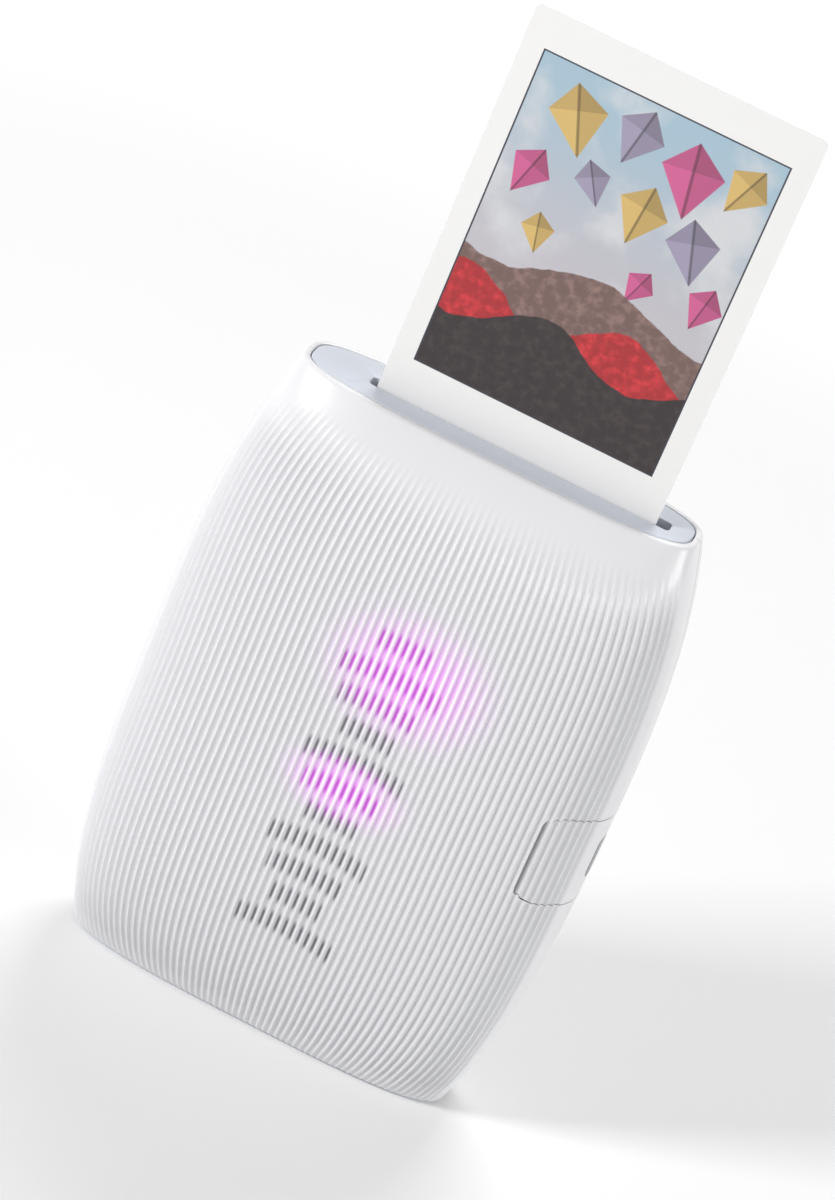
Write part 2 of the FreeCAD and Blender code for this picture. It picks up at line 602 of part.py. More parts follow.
# Chassis: the chamber round the pack, the ears for the rollers, lugs and posts
FRAME_LEFT = f"{PACK_LEFT} - frameFit - frameWall"
FRAME_RIGHT = "packOffset + packWidth / 2 + frameFit"
FRAME_FRONT = f"{PACK_FRONT} - frameFit - frameWall"
FRAME_BOTTOM = "packBottom - frameFit - frameWall"
EAR_TOP = "bodyHeight - capThickness - frameFit"
FRAME_WIDTH = "packWidth + 2 * frameFit + 2 * frameWall"
EAR_START = "packBottom + packHeight - lugHeight"
frame_pieces = [
    box("FrameFront", (FRAME_LEFT, FRAME_FRONT, FRAME_BOTTOM),
        (FRAME_WIDTH, "frameWall", "packHeight + frameWall")),
    box("FrameFloor", (FRAME_LEFT, FRAME_FRONT, FRAME_BOTTOM),
        (FRAME_WIDTH, f"frameBack - ({FRAME_FRONT})", "frameWall")),
    box("FrameRoof", (FRAME_LEFT, "-printPlane + packSlit", "packBottom + packHeight + frameFit"),
        (FRAME_WIDTH, "frameBack + printPlane - packSlit", "frameWall")),
]
for side, start in (("Left", FRAME_LEFT), ("Right", FRAME_RIGHT)):
    frame_pieces.append(box(f"Frame{side}", (start, FRAME_FRONT, FRAME_BOTTOM),
                            ("frameWall", f"frameBack - ({FRAME_FRONT})",
                             f"packBottom + packHeight + frameFit - ({FRAME_BOTTOM})")))
    frame_pieces.append(box(f"Ear{side}", (start, "-earFront", EAR_START),
                            ("frameWall", "earFront + earBack", f"{EAR_TOP} - ({EAR_START})")))
frame_pieces.append(box("MotorPlate", (FRAME_LEFT, "-motorLine - motorRadius - frameFit",
                                       motor_z - s.motorRadius - s.gearPost * 4),
                        ("frameWall", f"motorLine + motorRadius + frameFit + ({FRAME_FRONT}) + frameWall",
                         "2 * motorRadius + frameFit + gearPost * 4")))
for side, height in lug_places:
    low = frame_right if side > 0 else frame_left - s.lugReach
    frame_pieces.append(box(f"Lug{side}At{height:.0f}".replace("-", "Left"),
                            (low, FRAME_FRONT, height - s.lugHeight / 2),
                            ("lugReach", "lugThickness", "lugHeight")))
board_posts = [(side * (s.boardWidth / 2 - s.boardEdge), s.boardBottom + up)
               for side in (-1, 1) for up in (s.boardEdge, s.boardHeight - s.boardEdge)]
for number, (x, z) in enumerate(board_posts):
    frame_pieces.append(rod(f"BoardPost{number}", (x, FRAME_FRONT, z), "standoffRadius - screwFit",
                            f"boardLine + ({FRAME_FRONT})", FACING_FRONT))
switch_face = frame_left - s.gearWidth * 2 - s.gearGap * 2
switch_posts = [panel_middle - s.switchSize, panel_middle + s.switchSize]
for number, z in enumerate(switch_posts):
    frame_pieces.append(rod(f"SwitchPost{number}", (switch_face, "standoffRadius + gearGap", z),
                            "standoffRadius * 0.7",
                            frame_left - switch_face, ALONG_X))
frame_pieces.append(box("PortLedge", (frame_right, "-portLine + portDepth / 2 + boardThickness + coverGap",
                                      "panelBottom + boardEdge"),
                        ("boardEdge", "frameWall", "panelHeight - 2 * boardEdge")))
gear_posts = [(idler_y, idler_z, gear_far), (reduction_y, reduction_z, plate_near - s.gearPlate)]
for number, (y, z, end) in enumerate(gear_posts):
    frame_pieces.append(rod(f"GearPost{number}", (end, y, z), "gearPost", frame_left - end, ALONG_X))
spacers = [(-s.motorLine + s.gearModule, motor_z - s.motorRadius - s.gearPost * 2),
           (s.earBack - s.gearPost, reduction_z - s.motorRadius * 3),
           (s.earBack, reduction_z + s.motorRadius * 0.8)]
for number, (y, z) in enumerate(spacers):
    frame_pieces.append(rod(f"Spacer{number}", (plate_near, y, z), "gearPost + screwFit * 4",
                            frame_left - plate_near, ALONG_X))
frame_holes = []
bearings = [(y, start) for y in (drive_y, pinch_y) for start in (frame_left, frame_right - s.frameWall)]
for number, (y, start) in enumerate(bearings):
    frame_holes.append(rod(f"BearingHole{number}", (start - s.overrun, y, nip_z), "bushRadius + screwFit",
                           "frameWall + 2 * overrun", ALONG_X))
frame_holes.append(rod("MotorHole", (frame_left - s.overrun, motor_y, motor_z), "motorRadius * 0.4",
                       "frameWall + 2 * overrun", ALONG_X))
for side, height in lug_places:
    frame_holes.append(rod(f"LugHole{side}At{height:.0f}".replace("-", "Left"),
                           (lug_x(side), lug_back + s.overrun, height), "screwRadius + screwFit",
                           "lugThickness + 2 * overrun", FACING_FRONT))
for number, (x, z) in enumerate(board_posts):
    frame_holes.append(rod(f"BoardHole{number}", (x, -s.boardLine + s.screwGrip, z),
                           "screwRadius + screwFit",
                           "screwGrip + overrun", FACING_FRONT))
frame_holes.append(box("PickSlot", ("packOffset - printWidth / 4 - pickWidth / 2 - filmStep",
                                    "-printPlane - filmStep * 3", f"{FRAME_BOTTOM} - overrun"),
                       ("pickWidth + 2 * filmStep", "filmStep * 5", "frameWall + 2 * overrun")))
inner_room = shape("InnerRoom", room(s.wall + s.frameFit * 2))
chassis = doc.addObject("Part::Common", "Chassis")
chassis.Base, chassis.Tool = cut("Frame", join("FrameSolid", frame_pieces),
                                 join("FrameCuts", frame_holes)), inner_room
part(chassis, "chassis")


def screws(label, places, turn):
    """A group of equal screws: each a shank and a head, from the head's seat."""
    pieces = []
    for number, (x, y, z) in enumerate(places):
        away = turn.multVec(Z)
        pieces.append(rod(f"{label}Shank{number}", (x, y, z), "screwRadius", "screwGrip", turn))
        head = Vector(x, y, z) - away * s.screwHeadHeight
        pieces.append(rod(f"{label}Head{number}", tuple(head), "screwHead", "screwHeadHeight", turn))
    return join(label, pieces)


part(screws("LugScrews", [(lug_x(side), lug_back, z) for side, z in lug_places], FACING_FRONT),
     "case_screws")
part(screws("BoardScrews", [(x, -s.boardLine - s.boardThickness, z) for x, z in board_posts], ALONG_Y),
     "board_screws")

# Rollers that carry the print out, in bushes in the ears
bushes, bores = [], []
for number, (y, start) in enumerate(bearings):
    inward = start + s.frameWall if number % 2 == 0 else start - s.bushCollar
    bushes.append(rod(f"Sleeve{number}", (start, y, nip_z), "bushRadius", "frameWall", ALONG_X))
    bushes.append(rod(f"Collar{number}", (inward, y, nip_z), "bushFlange", "bushCollar", ALONG_X))
for number, y in enumerate((drive_y, pinch_y)):
    bores.append(rod(f"ShaftBore{number}", (frame_left - s.overrun, y, nip_z), "shaftRadius + bushFit",
                     f"{FRAME_WIDTH} + 2 * overrun", ALONG_X))
part(cut("RollerBushes", join("BushSolids", bushes), join("BushBores", bores)), "roller_bushes")
for name, y in (("drive", drive_y), ("pinch", pinch_y)):
    title = name.capitalize()
    shaft_end = frame_right + s.bushCollar
    part(rod(f"{title}Shaft", (gear_far, y, nip_z), "shaftRadius", shaft_end - gear_far, ALONG_X),
         f"{name}_roller_shaft")
    rubber = rod(f"{title}Rubber", ("packOffset - rollerLength / 2", y, nip_z), roller_radius,
                 "rollerLength", ALONG_X)
    core = rod(f"{title}Core", ("packOffset - rollerLength / 2 - overrun", y, nip_z),
               "shaftRadius + screwFit / 5",
               "rollerLength + 2 * overrun", ALONG_X)
    part(cut(f"{title}Roller", rubber, core), f"{name}_roller_rubber")


# Gears: a disc, one tooth and its round pattern
def add_gear(body, teeth, start, width):
    pitch = teeth * s.gearModule / 2
    name = f"{body.Name}At{start}".replace("-", "")
    disc = flat_sketch(body, f"{name}Disc")
    root = f"{teeth} * gearModule / 2 - {DEDENDUM_SHARE} * gearModule"
    circle(disc, "root", pitch - DEDENDUM_SHARE * s.gearModule, root)
    tooth = flat_sketch(body, f"{name}Tooth")
    half = math.pi * s.gearModule / 4 * (1 - BACKLASH_SHARE)
    slope = math.tan(math.radians(PRESSURE_ANGLE))
    low, high = -DEDENDUM_SHARE * s.gearModule, ADDENDUM_SHARE * s.gearModule
    inner = pitch + low - s.gearModule / 2
    corners = [(-half + low * slope, inner), (-half + low * slope, pitch + low),
               (-half + high * slope, pitch + high),
               (half - high * slope, pitch + high), (half - low * slope, pitch + low),
               (half - low * slope, inner)]
    for (ax, ay), (bx, by) in zip(corners, corners[1:] + corners[:1]):
        tooth.addGeometry(Part.LineSegment(Vector(ax, ay, 0), Vector(bx, by, 0)))
    for sketch in (disc, tooth):
        sketch.AttachmentOffset = Placement(Vector(0, 0, start), Rotation())
    pad(body, disc, f"{name}Body", width)
    one = pad(body, tooth, f"{name}One", width)
    pattern = body.newObject("PartDesign::PolarPattern", f"{name}Teeth")
    pattern.Originals, pattern.Axis = [one], (tooth, ["N_Axis"])
    pattern.Angle, pattern.Occurrences = 360, teeth
    body.Tip = pattern


def finish_gear(body, label, radius, formula, x, y, z, phase):
    bore = flat_sketch(body, f"{body.Name}Bore")
    circle(bore, "bore", radius, formula)
    hole = body.newObject("PartDesign::Pocket", f"{body.Name}Hole")
    hole.Profile, hole.Type, hole.Midplane = bore, "ThroughAll", True
    body.Placement = Placement(Vector(x, y, z), Rotation(X, math.degrees(phase)) * ALONG_X)
    part(body, label)


def mesh_phase(phase, teeth, y, z, next_teeth, next_y, next_z):
    """The next gear's angle that puts its gaps on this gear's teeth."""
    line = math.atan2(next_z - z, next_y - y)
    return line + math.pi - (teeth * (phase - line) + math.pi) / next_teeth


drive_phase = math.pi / 2
pinch_phase = mesh_phase(drive_phase, ROLLER_TEETH, drive_y, nip_z, ROLLER_TEETH, pinch_y, nip_z)
idler_phase = mesh_phase(drive_phase, ROLLER_TEETH, drive_y, nip_z, IDLER_TEETH, idler_y, idler_z)
reduced_phase = mesh_phase(idler_phase, IDLER_TEETH, idler_y, idler_z, REDUCED_TEETH, reduction_y,
                           reduction_z)
motor_phase = mesh_phase(reduced_phase, LARGE_TEETH, reduction_y, reduction_z, PINION_TEETH, motor_y,
                         motor_z)
for name, y, phase in (("drive", drive_y, drive_phase), ("pinch", pinch_y, pinch_phase)):
    wheel = new_body(f"{name.capitalize()}Gear")
    add_gear(wheel, ROLLER_TEETH, 0, "gearWidth")
    finish_gear(wheel, f"{name}_roller_gear", s.shaftRadius + s.screwFit / 5, "shaftRadius + screwFit / 5",
                gear_far, y, nip_z, phase)
wheel = new_body("IdlerGear")
add_gear(wheel, IDLER_TEETH, 0, "gearWidth")
finish_gear(wheel, "idler_gear", s.gearPost + s.bushFit, "gearPost + bushFit", gear_far, idler_y, idler_z,
            idler_phase)
wheel = new_body("ReductionGear")
add_gear(wheel, LARGE_TEETH, 0, "gearWidth")
add_gear(wheel, REDUCED_TEETH, s.gearWidth, "gearWidth + gearGap")
finish_gear(wheel, "reduction_gear", s.gearPost + s.bushFit, "gearPost + bushFit", large_far, reduction_y,
            reduction_z,
            reduced_phase)
wheel = new_body("MotorPinion")
add_gear(wheel, PINION_TEETH, 0, "gearWidth")
finish_gear(wheel, "motor_pinion", s.motorShaft + s.screwFit / 5, "motorShaft + screwFit / 5", large_far,
            motor_y, motor_z,
            motor_phase)

# Motor and the outer plate that carries the gear ends
motor_start = frame_left + s.frameWall + s.frameFit
can = rod("MotorCan", (motor_start, motor_y, motor_z), "motorRadius", "motorLength", ALONG_X)
can_bore = rod("MotorBore", (motor_start - s.overrun, motor_y, motor_z), "motorShaft + bushFit",
               "motorLength / 2 + overrun", ALONG_X)
part(cut("Motor", can, can_bore), "motor")
shaft_start = plate_near - s.gearPlate
part(rod("MotorShaft", (shaft_start, motor_y, motor_z), "motorShaft",
         motor_start + s.motorLength / 2 - s.overrun - shaft_start, ALONG_X), "motor_shaft")
plate_low = motor_z - s.motorRadius - s.gearPost * 5
gear_plate = box("GearPlateBlank", (plate_near - s.gearPlate, "-motorLine - gearPost * 1.2", plate_low),
                 ("gearPlate", "motorLine + gearPost * 1.2 + earBack + gearPost * 2",
                  reduction_z + s.motorRadius + s.gearPost - plate_low))
plate_holes = [rod(f"PlateHole{number}", (plate_near - s.gearPlate - s.overrun, y, z), radius,
                   "gearPlate + 2 * overrun",
                   ALONG_X)
               for number, (y, z, radius) in enumerate(((reduction_y, reduction_z, "gearPost + bushFit"),
                                                        (motor_y, motor_z, "motorShaft + bushFit")))]
part(cut("GearPlate", gear_plate, join("PlateHoles", plate_holes)), "gear_plate")

# Exposure head just above the pack: a trough with a lens bar and a strip of lights
head_low = pack_top + s.frameFit
head_back = print_y - s.printThickness / 2 - s.headAir
head_left = frame_left + s.frameWall + s.frameFit
head_length = frame_right - frame_left - 2 * s.frameWall - 2 * s.frameFit
head_block = box("HeadBlock", (head_left, head_back - s.headDepth, head_low),
                 (head_length, "headDepth", "headHeight"))
head_channel = box("HeadChannel", (head_left + s.headWall, head_back - s.headDepth + s.headWall,
                                   head_low + s.headWall),
                   (head_length - 2 * s.headWall, "headDepth + overrun", "headHeight - 2 * headWall"))
part(cut("HeadHousing", head_block, head_channel), "exposure_head_housing")
part(box("HeadLens", ("packOffset - printWidth / 2", head_back - s.headDepth / 2,
                      head_low + s.headWall + s.chipFit),
         ("printWidth", "headDepth / 2", "lensHeight")), "exposure_lens_bar")
part(box("HeadLights", ("packOffset - printWidth / 2", head_back - s.headDepth + s.headWall + s.screwFit,
                        head_low + (s.headHeight - s.lensHeight) / 2),
         ("printWidth", "ledStripDepth", "lensHeight")), "exposure_light_strip")

# Power and boards in front of the chassis
battery = rounded_plate("Battery", s.batteryWidth, s.batteryHeight, s.batteryRound,
                        {"width": "batteryWidth", "height": "batteryHeight", "corner": "batteryRound"},
                        "batteryDepth")
part(put(battery, 0.0, f"{FRAME_FRONT} - frameFit", "boardBottom + boardHeight / 2", FACING_FRONT),
     "battery")
board_blank = box("BoardBlank", ("-boardWidth / 2", "-boardLine - boardThickness", "boardBottom"),
                  ("boardWidth", "boardThickness", "boardHeight"))
board_holes = [rod(f"BoardClear{number}", (x, -s.boardLine + s.overrun, z), "screwRadius + screwFit",
                   "boardThickness + 2 * overrun", FACING_FRONT) for number, (x,
                                                                              z) in enumerate(board_posts)]
part(cut("MainBoard", board_blank, join("BoardHoles", board_holes)), "main_board")
CHIP_SHARES = (("Processor", -0.22, 0.62, 0.24, 0.2), ("Memory", 0.06, 0.64, 0.17, 0.15),
               ("Radio", 0.12, 0.22, 0.22, 0.24), ("Charger", -0.3, 0.26, 0.1, 0.09),
               ("Driver", -0.12, 0.22, 0.12, 0.1))
chips = [box(f"Chip{name}", (f"boardWidth * {across}", "-boardLine - boardThickness - chipHeight - chipFit",
                             f"boardBottom + boardHeight * {up}"),
             (f"boardWidth * {width}", "chipHeight", f"boardHeight * {height}"))
         for name, across, up, width, height in CHIP_SHARES]
part(join("BoardChips", chips), "board_chips")

part(box("LightBoard", ("packOffset - lightWidth / 2", "-lightLine - boardThickness", "lightBottom"),
         ("lightWidth", "boardThickness", "lightHeight")), "light_board")
LIGHT_ROWS = 5
lights = [box(f"Light{row}{'LR'[side > 0]}", (light_x + side * s.ledSide - s.ledSide / 2,
                                              "-lightLine - boardThickness - ledHeight - chipFit",
                                              s.lightBottom - s.ledSide / 2
                                              + s.lightHeight * (row + 0.5) / LIGHT_ROWS),
              ("ledSide", "ledHeight", "ledSide")) for row in range(LIGHT_ROWS) for side in (-1, 1)]
part(join("Lights", lights), "status_lights")
guide = rounded_plate("LightGuide", s.lightWidth - s.standoffRadius * 4, s.lightHeight - s.ledSide,
                      s.batteryRound,
                      {"width": "lightWidth - standoffRadius * 4", "height": "lightHeight - ledSide",
                       "corner": "batteryRound"}, "guideThickness")
part(put(guide, "packOffset", "-lightLine - boardThickness - ledHeight - coverGap / 2",
         "lightBottom + lightHeight / 2", FACING_FRONT), "light_guide")

# Side panels: the port on +X, the power button on -X
panel_levels = [s.panelBottom - s.panelSeam + (s.panelHeight + 2 * s.panelSeam) * share for share in (0.0,
                                                                                                      0.25,
                                                                                                      0.5,
                                                                                                      0.75,
                                                                                                      1.0)]


def panel_wall(side):
    """The wall's own form over the panel's window, cut to the window's rounded outline."""
    reach = (s.panelFront + s.panelBack) / HALF_TURN_LENGTH
    centre = 0.0 if side > 0 else 1.0
    wall = wall_loft(centre - reach, centre + reach, panel_levels)
    return wall.common(panel_prism(side, 0.0))


def lying_prism(x, length, y, width, z, height, radius):
    return rounded_prism((x, y - width / 2, z - height / 2), (length, width, height), radius, X)


port_hole = lying_prism(frame_right, s.bodyWidth, port_y, s.portDepth + 2 * s.portFit, panel_middle,
                        s.portLength + 2 * s.portFit, s.portDepth / 2)
part(shape("PortPanel", panel_wall(1).cut(port_hole)), "port_panel")
port_front = width_at(panel_middle, port_y) - s.portFit * 2
port_start = frame_right + s.portAir
port_reach = port_front - port_start
socket = lying_prism(port_start, port_reach, port_y, s.portDepth, panel_middle, s.portLength,
                     s.portDepth * 0.45)
socket_room = lying_prism(port_start + s.portShell, port_reach, port_y, s.portDepth - 2 * s.portShell,
                          panel_middle, s.portLength - 2 * s.portShell, s.portDepth * 0.3)
part(shape("PortSocket", socket.cut(socket_room)), "usb_socket")
part(box("PortTongue", (port_start + s.portShell + s.screwFit / 5, port_y - s.tongueThickness / 2,
                        panel_middle - s.tongueWidth / 2),
         (port_reach * 0.8, "tongueThickness", "tongueWidth")), "usb_tongue")
port_board_y = port_y + s.portDepth / 2 + s.screwFit
part(box("PortBoard", (frame_right + s.coverGap, port_board_y, "panelBottom + boardThickness"),
         (port_front - s.wall - frame_right - s.coverGap * 2 - s.boardThickness, "boardThickness",
          "panelHeight - 2 * boardThickness")), "port_board")

button_y = s.buttonLine
button_hole = lying_prism(-s.bodyWidth, s.bodyWidth / 2 + s.wall * 4, button_y,
                          s.buttonWidth + 2 * s.buttonFit, panel_middle,
                          s.buttonLength + 2 * s.buttonFit, s.buttonWidth / 2 * 0.9)
part(shape("ButtonPanel", panel_wall(-1).cut(button_hole)), "button_panel")
button_face = -width_at(panel_middle, button_y) - s.buttonProud
flange_reach = s.buttonFlange + s.buttonFit
flange_face = -width_at(panel_middle, button_y + s.buttonWidth / 2 + flange_reach, s.wall) + s.coverGap
cap_solid = lying_prism(button_face, flange_face - button_face, button_y, s.buttonWidth, panel_middle,
                        s.buttonLength,
                        s.buttonWidth * 0.45)
flange = lying_prism(flange_face, s.buttonFlange, button_y, s.buttonWidth + 2 * flange_reach, panel_middle,
                     s.buttonLength + 2 * flange_reach, s.buttonWidth * 0.45)
plunger_face = switch_face - s.boardThickness - s.switchDepth - s.buttonProud
stem = cylinder(s.shaftRadius, Vector(flange_face, button_y, panel_middle),
                Vector(plunger_face - s.buttonTravel - s.screwFit, button_y, panel_middle))
part(shape("PowerButton", cap_solid.fuse([flange, stem])), "power_button")
part(box("SwitchBoard", (switch_face - s.boardThickness, "buttonLine - switchSize * 1.2",
                         "panelBottom + boardThickness * 2"),
         ("boardThickness", "switchSize * 2.2", "panelHeight - 4 * boardThickness")), "switch_board")
switch_block = box("SwitchBlock", (switch_face - s.boardThickness - s.switchDepth,
                                   button_y - s.switchSize / 2,
                                   panel_middle - s.switchSize / 2), ("switchDepth", "switchSize",
                                                                      "switchSize"))
plunger = rod("SwitchPlunger", (plunger_face, button_y, panel_middle), "shaftRadius * 0.9", "buttonProud",
              ALONG_X)
part(join("PowerSwitch", [switch_block, plunger]), "power_switch")

# Door fittings: two pads that press the pack, and the sliding lock above the door
pads = []
for side in (-1, 1):
    x = s.packOffset + side * s.padSpread / 2
    pads.append(Part.makeBox(s.padWidth, s.padThickness, s.padHeight,
                             Vector(x - s.padWidth / 2, pack_front + s.packDepth + s.frameFit,
                                    s.bodyHeight / 2 - s.padHeight / 2)))
    pads.append(cylinder(s.padThickness, Vector(x, pack_front + s.packDepth + s.frameFit, s.bodyHeight / 2),
                         Vector(x, depth_at(s.bodyHeight / 2, x, s.wall) - s.frameFit * 2,
                                s.bodyHeight / 2)))
part(shape("PressurePads", pads[0].fuse(pads[1]).fuse(pads[2].fuse(pads[3]))), "pressure_pads")

knob = Part.makeBox(s.lockKnobLength, s.lockKnobDepth, s.lockKnobHeight,
                    Vector(-s.lockKnobLength / 2, s.coverGap, -s.lockKnobHeight / 2))
knob_edges = [edge for edge in knob.Edges if edge.CenterOfMass.y > s.lockKnobDepth]
knob = knob.makeFillet(s.lockKnobDepth * 0.4, knob_edges)
knob.rotate(Vector(), X, lock_lean)
knob.translate(Vector(0, lock_depth, s.lockHeight))
stem_start = tongue_y - s.wall / 4
lock_stem = Part.makeBox(s.lockStem, lock_depth + s.lockKnobDepth - stem_start, s.lockStem,
                         Vector(-s.lockStem / 2, stem_start, s.lockHeight - s.lockStem / 2))
tongue = Part.makeBox(s.lockStem, s.wall / 2, s.tongueDrop + s.lockStem / 2,
                      Vector(-s.lockStem / 2, tongue_y - s.wall / 4, s.lockHeight - s.tongueDrop))
part(shape("DoorLock", knob.fuse([lock_stem, tongue])), "door_lock")

# The pick that lifts the front film by its lower edge
pick_x = s.packOffset - s.printWidth / 4 - s.pickWidth / 2
pick_low = frame_bottom - s.pickTravel - s.frameFit - s.pickThickness
claw = box("PickClaw", (pick_x, "-printPlane - pickThickness / 4", pick_low),
           ("pickWidth", "pickThickness / 2", s.packBottom + s.packWall - pick_low))
arm_left = frame_left - s.frameFit - s.pickThickness
foot = box("PickFoot", (arm_left, "-printPlane - pickThickness / 2", pick_low),
           (pick_x + s.pickWidth - arm_left, "pickThickness * 2.5", "pickThickness"))
riser = box("PickRiser", (arm_left, "-printPlane + pickThickness", pick_low),
            ("pickThickness", "pickThickness", "pickHeight"))
part(join("FilmPick", [claw, foot, riser]), "film_pick")

doc.recompute()
labels = [piece.Label for piece in parts]
assert len(set(labels)) == len(labels), "two pieces share a name"
for thing in doc.Objects:
    assert not {"Invalid", "Error"} & set(thing.State), f"{thing.Label} failed"
for piece in parts:
    assert not piece.Shape.isNull() and piece.Shape.isValid(), f"{piece.Label} has no sound shape"
os.makedirs("parts", exist_ok=True)
for piece in parts:
    piece.Shape.exportStep(f"parts/{piece.Label}.step")
    print(piece.Label, len(piece.Shape.Solids), round(piece.Shape.Volume, 2))
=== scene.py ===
import math
from functools import partial
import bpy
import numpy as np
from mathutils import Matrix, Vector


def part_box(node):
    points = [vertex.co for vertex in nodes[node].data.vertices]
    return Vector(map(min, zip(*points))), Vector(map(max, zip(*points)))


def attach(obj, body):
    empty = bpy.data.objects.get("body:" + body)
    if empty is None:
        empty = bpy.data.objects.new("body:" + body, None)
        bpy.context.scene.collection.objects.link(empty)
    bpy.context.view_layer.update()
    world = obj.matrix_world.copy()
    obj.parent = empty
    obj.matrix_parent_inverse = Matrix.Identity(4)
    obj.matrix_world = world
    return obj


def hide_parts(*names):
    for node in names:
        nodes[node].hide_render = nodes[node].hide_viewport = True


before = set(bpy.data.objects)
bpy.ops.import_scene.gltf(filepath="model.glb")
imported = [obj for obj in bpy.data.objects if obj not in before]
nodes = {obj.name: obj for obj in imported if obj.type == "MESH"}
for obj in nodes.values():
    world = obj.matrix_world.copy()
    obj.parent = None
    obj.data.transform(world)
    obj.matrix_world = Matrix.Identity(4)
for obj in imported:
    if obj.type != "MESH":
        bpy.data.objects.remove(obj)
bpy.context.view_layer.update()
mm = 0.001
print("frame loaded:", len(nodes), "nodes")


# Short calls for modes, selection and new objects
def editMode():
    bpy.ops.object.mode_set(mode="EDIT")


def objectMode():
    bpy.ops.object.mode_set(mode="OBJECT")


def deselectAll():
    bpy.ops.object.select_all(action="DESELECT")


def selectOnly(piece):
    deselectAll()
    bpy.context.view_layer.objects.active = piece
    piece.select_set(True)


def added(name):
    piece = bpy.context.object
    piece.name = piece.data.name = name
    return piece


# Camera: the photograph's viewpoint, rolled because the printer leans in the picture
cameraPlace = {
    "azimuth": 0.117407, "elevation": 0.483992, "lean": -0.014882, "pictureRoll": math.radians(24.3),
    "distance": 850.8325 * mm, "shiftAcross": -3.17194 * mm, "shiftUp": 24.3618 * mm,
    "aim": (0, 0, 62.5 * mm), "lens": 142.31, "filmHeight": 36, "nearest": 0.05,
}


def turnedPair(across, up, angle):
    return across * math.cos(angle) + up * math.sin(angle), up * math.cos(angle) - across * math.sin(angle)


def addCamera(place):
    az, el = place["azimuth"], place["elevation"]
    back = Vector((math.sin(az) * math.cos(el), -math.cos(az) * math.cos(el), math.sin(el)))
    across = (-back).cross(Vector((0, 0, 1))).normalized()
    up = across.cross(-back)
    across, up = turnedPair(across, up, place["lean"])
    spot = Vector(place["aim"]) + across * place["shiftAcross"] + up * place["shiftUp"]
    spot += back * place["distance"]
    across, up = turnedPair(across, up, place["pictureRoll"])
    bpy.ops.object.camera_add()
    camera = bpy.context.object
    camera.name = "photoCamera"
    camera.matrix_world = Matrix((
        (across.x, up.x, back.x, spot.x), (across.y, up.y, back.y, spot.y),
        (across.z, up.z, back.z, spot.z), (0, 0, 0, 1)))
    camera.data.lens = place["lens"]
    camera.data.sensor_fit = "VERTICAL"
    camera.data.sensor_height = place["filmHeight"]
    camera.data.clip_start = place["nearest"]
    bpy.context.scene.camera = camera


deselectAll()
addCamera(cameraPlace)
bpy.context.scene.view_settings.view_transform = "Standard"
print("camera placed")


# Nodes of a material, by short calls
def newMaterial(name):
    material = bpy.data.materials.new(name)
    material.use_nodes = True
    tree = material.node_tree
    shader = tree.nodes["Principled BSDF"]
    return material, tree, shader


def setSockets(node, values):
    for label, value in values.items():
        node.inputs[label].default_value = value


def addNode(tree, kind, values=None, **settings):
    node = tree.nodes.new(kind)
    for key, value in settings.items():
        setattr(node, key, value)
    setSockets(node, values or {})
    return node


# A number, a colour or another node's output into a socket
def feed(tree, value, socket):
    if isinstance(value, tuple):
        socket.default_value = (*value, 1) if len(value) == 3 else value
    elif isinstance(value, (int, float)):
        socket.default_value = value
    else:
        tree.links.new(value, socket)


def sumNode(tree, operation, *terms):
    node = addNode(tree, "ShaderNodeMath", operation=operation)
    for socket, value in zip(node.inputs, terms):
        feed(tree, value, socket)
    return node.outputs[0]


def mixColours(tree, share, first, second):
    node = addNode(tree, "ShaderNodeMix", data_type="RGBA")
    for number, value in ((0, share), (6, first), (7, second)):
        feed(tree, value, node.inputs[number])
    return node.outputs[2]


def smoothRange(tree, value, low, high):
    node = addNode(tree, "ShaderNodeMapRange", {"From Min": low, "From Max": high},
                   interpolation_type="SMOOTHSTEP")
    tree.links.new(value, node.inputs["Value"])
    return node.outputs["Result"]


def shaded(tree, colour, shade):
    node = addNode(tree, "ShaderNodeVectorMath", operation="SCALE")
    tree.links.new(colour, node.inputs[0])
    tree.links.new(shade, node.inputs["Scale"])
    return node.outputs[0]


def noiseOf(tree, places, scale, detail):
    node = addNode(tree, "ShaderNodeTexNoise", {"Detail": detail})
    tree.links.new(places, node.inputs["Vector"])
    feed(tree, scale, node.inputs["Scale"])
    return node.outputs["Fac"]


# Object coordinates, whole and as x, y and z
def placesOf(tree):
    places = addNode(tree, "ShaderNodeTexCoord").outputs["Object"]
    split = addNode(tree, "ShaderNodeSeparateXYZ")
    tree.links.new(places, split.inputs[0])
    return places, split.outputs


def newGroup(name, inputs, outputs):
    group = bpy.data.node_groups.new(name, "ShaderNodeTree")
    for label, value in inputs.items():
        kind = "Float" if isinstance(value, float) else "Color" if len(value) == 4 else "Vector"
        socket = group.interface.new_socket(label, in_out="INPUT", socket_type="NodeSocket" + kind)
        socket.default_value = value
    for label in outputs:
        kind = "Color" if label == "Colour" else "Float"
        group.interface.new_socket(label, in_out="OUTPUT", socket_type="NodeSocket" + kind)
    return group, group.nodes.new("NodeGroupInput").outputs, group.nodes.new("NodeGroupOutput").inputs


# A surface group's colour, roughness and height into the shader
def wearGroup(tree, shader, surface, strength, height):
    bump = addNode(tree, "ShaderNodeBump", {"Strength": strength, "Distance": height * mm})
    for label, socket in (("Height", bump.inputs["Height"]), ("Colour", shader.inputs["Base Color"]),
                          ("Roughness", shader.inputs["Roughness"])):
        tree.links.new(surface.outputs[label], socket)
    tree.links.new(bump.outputs["Normal"], shader.inputs["Normal"])


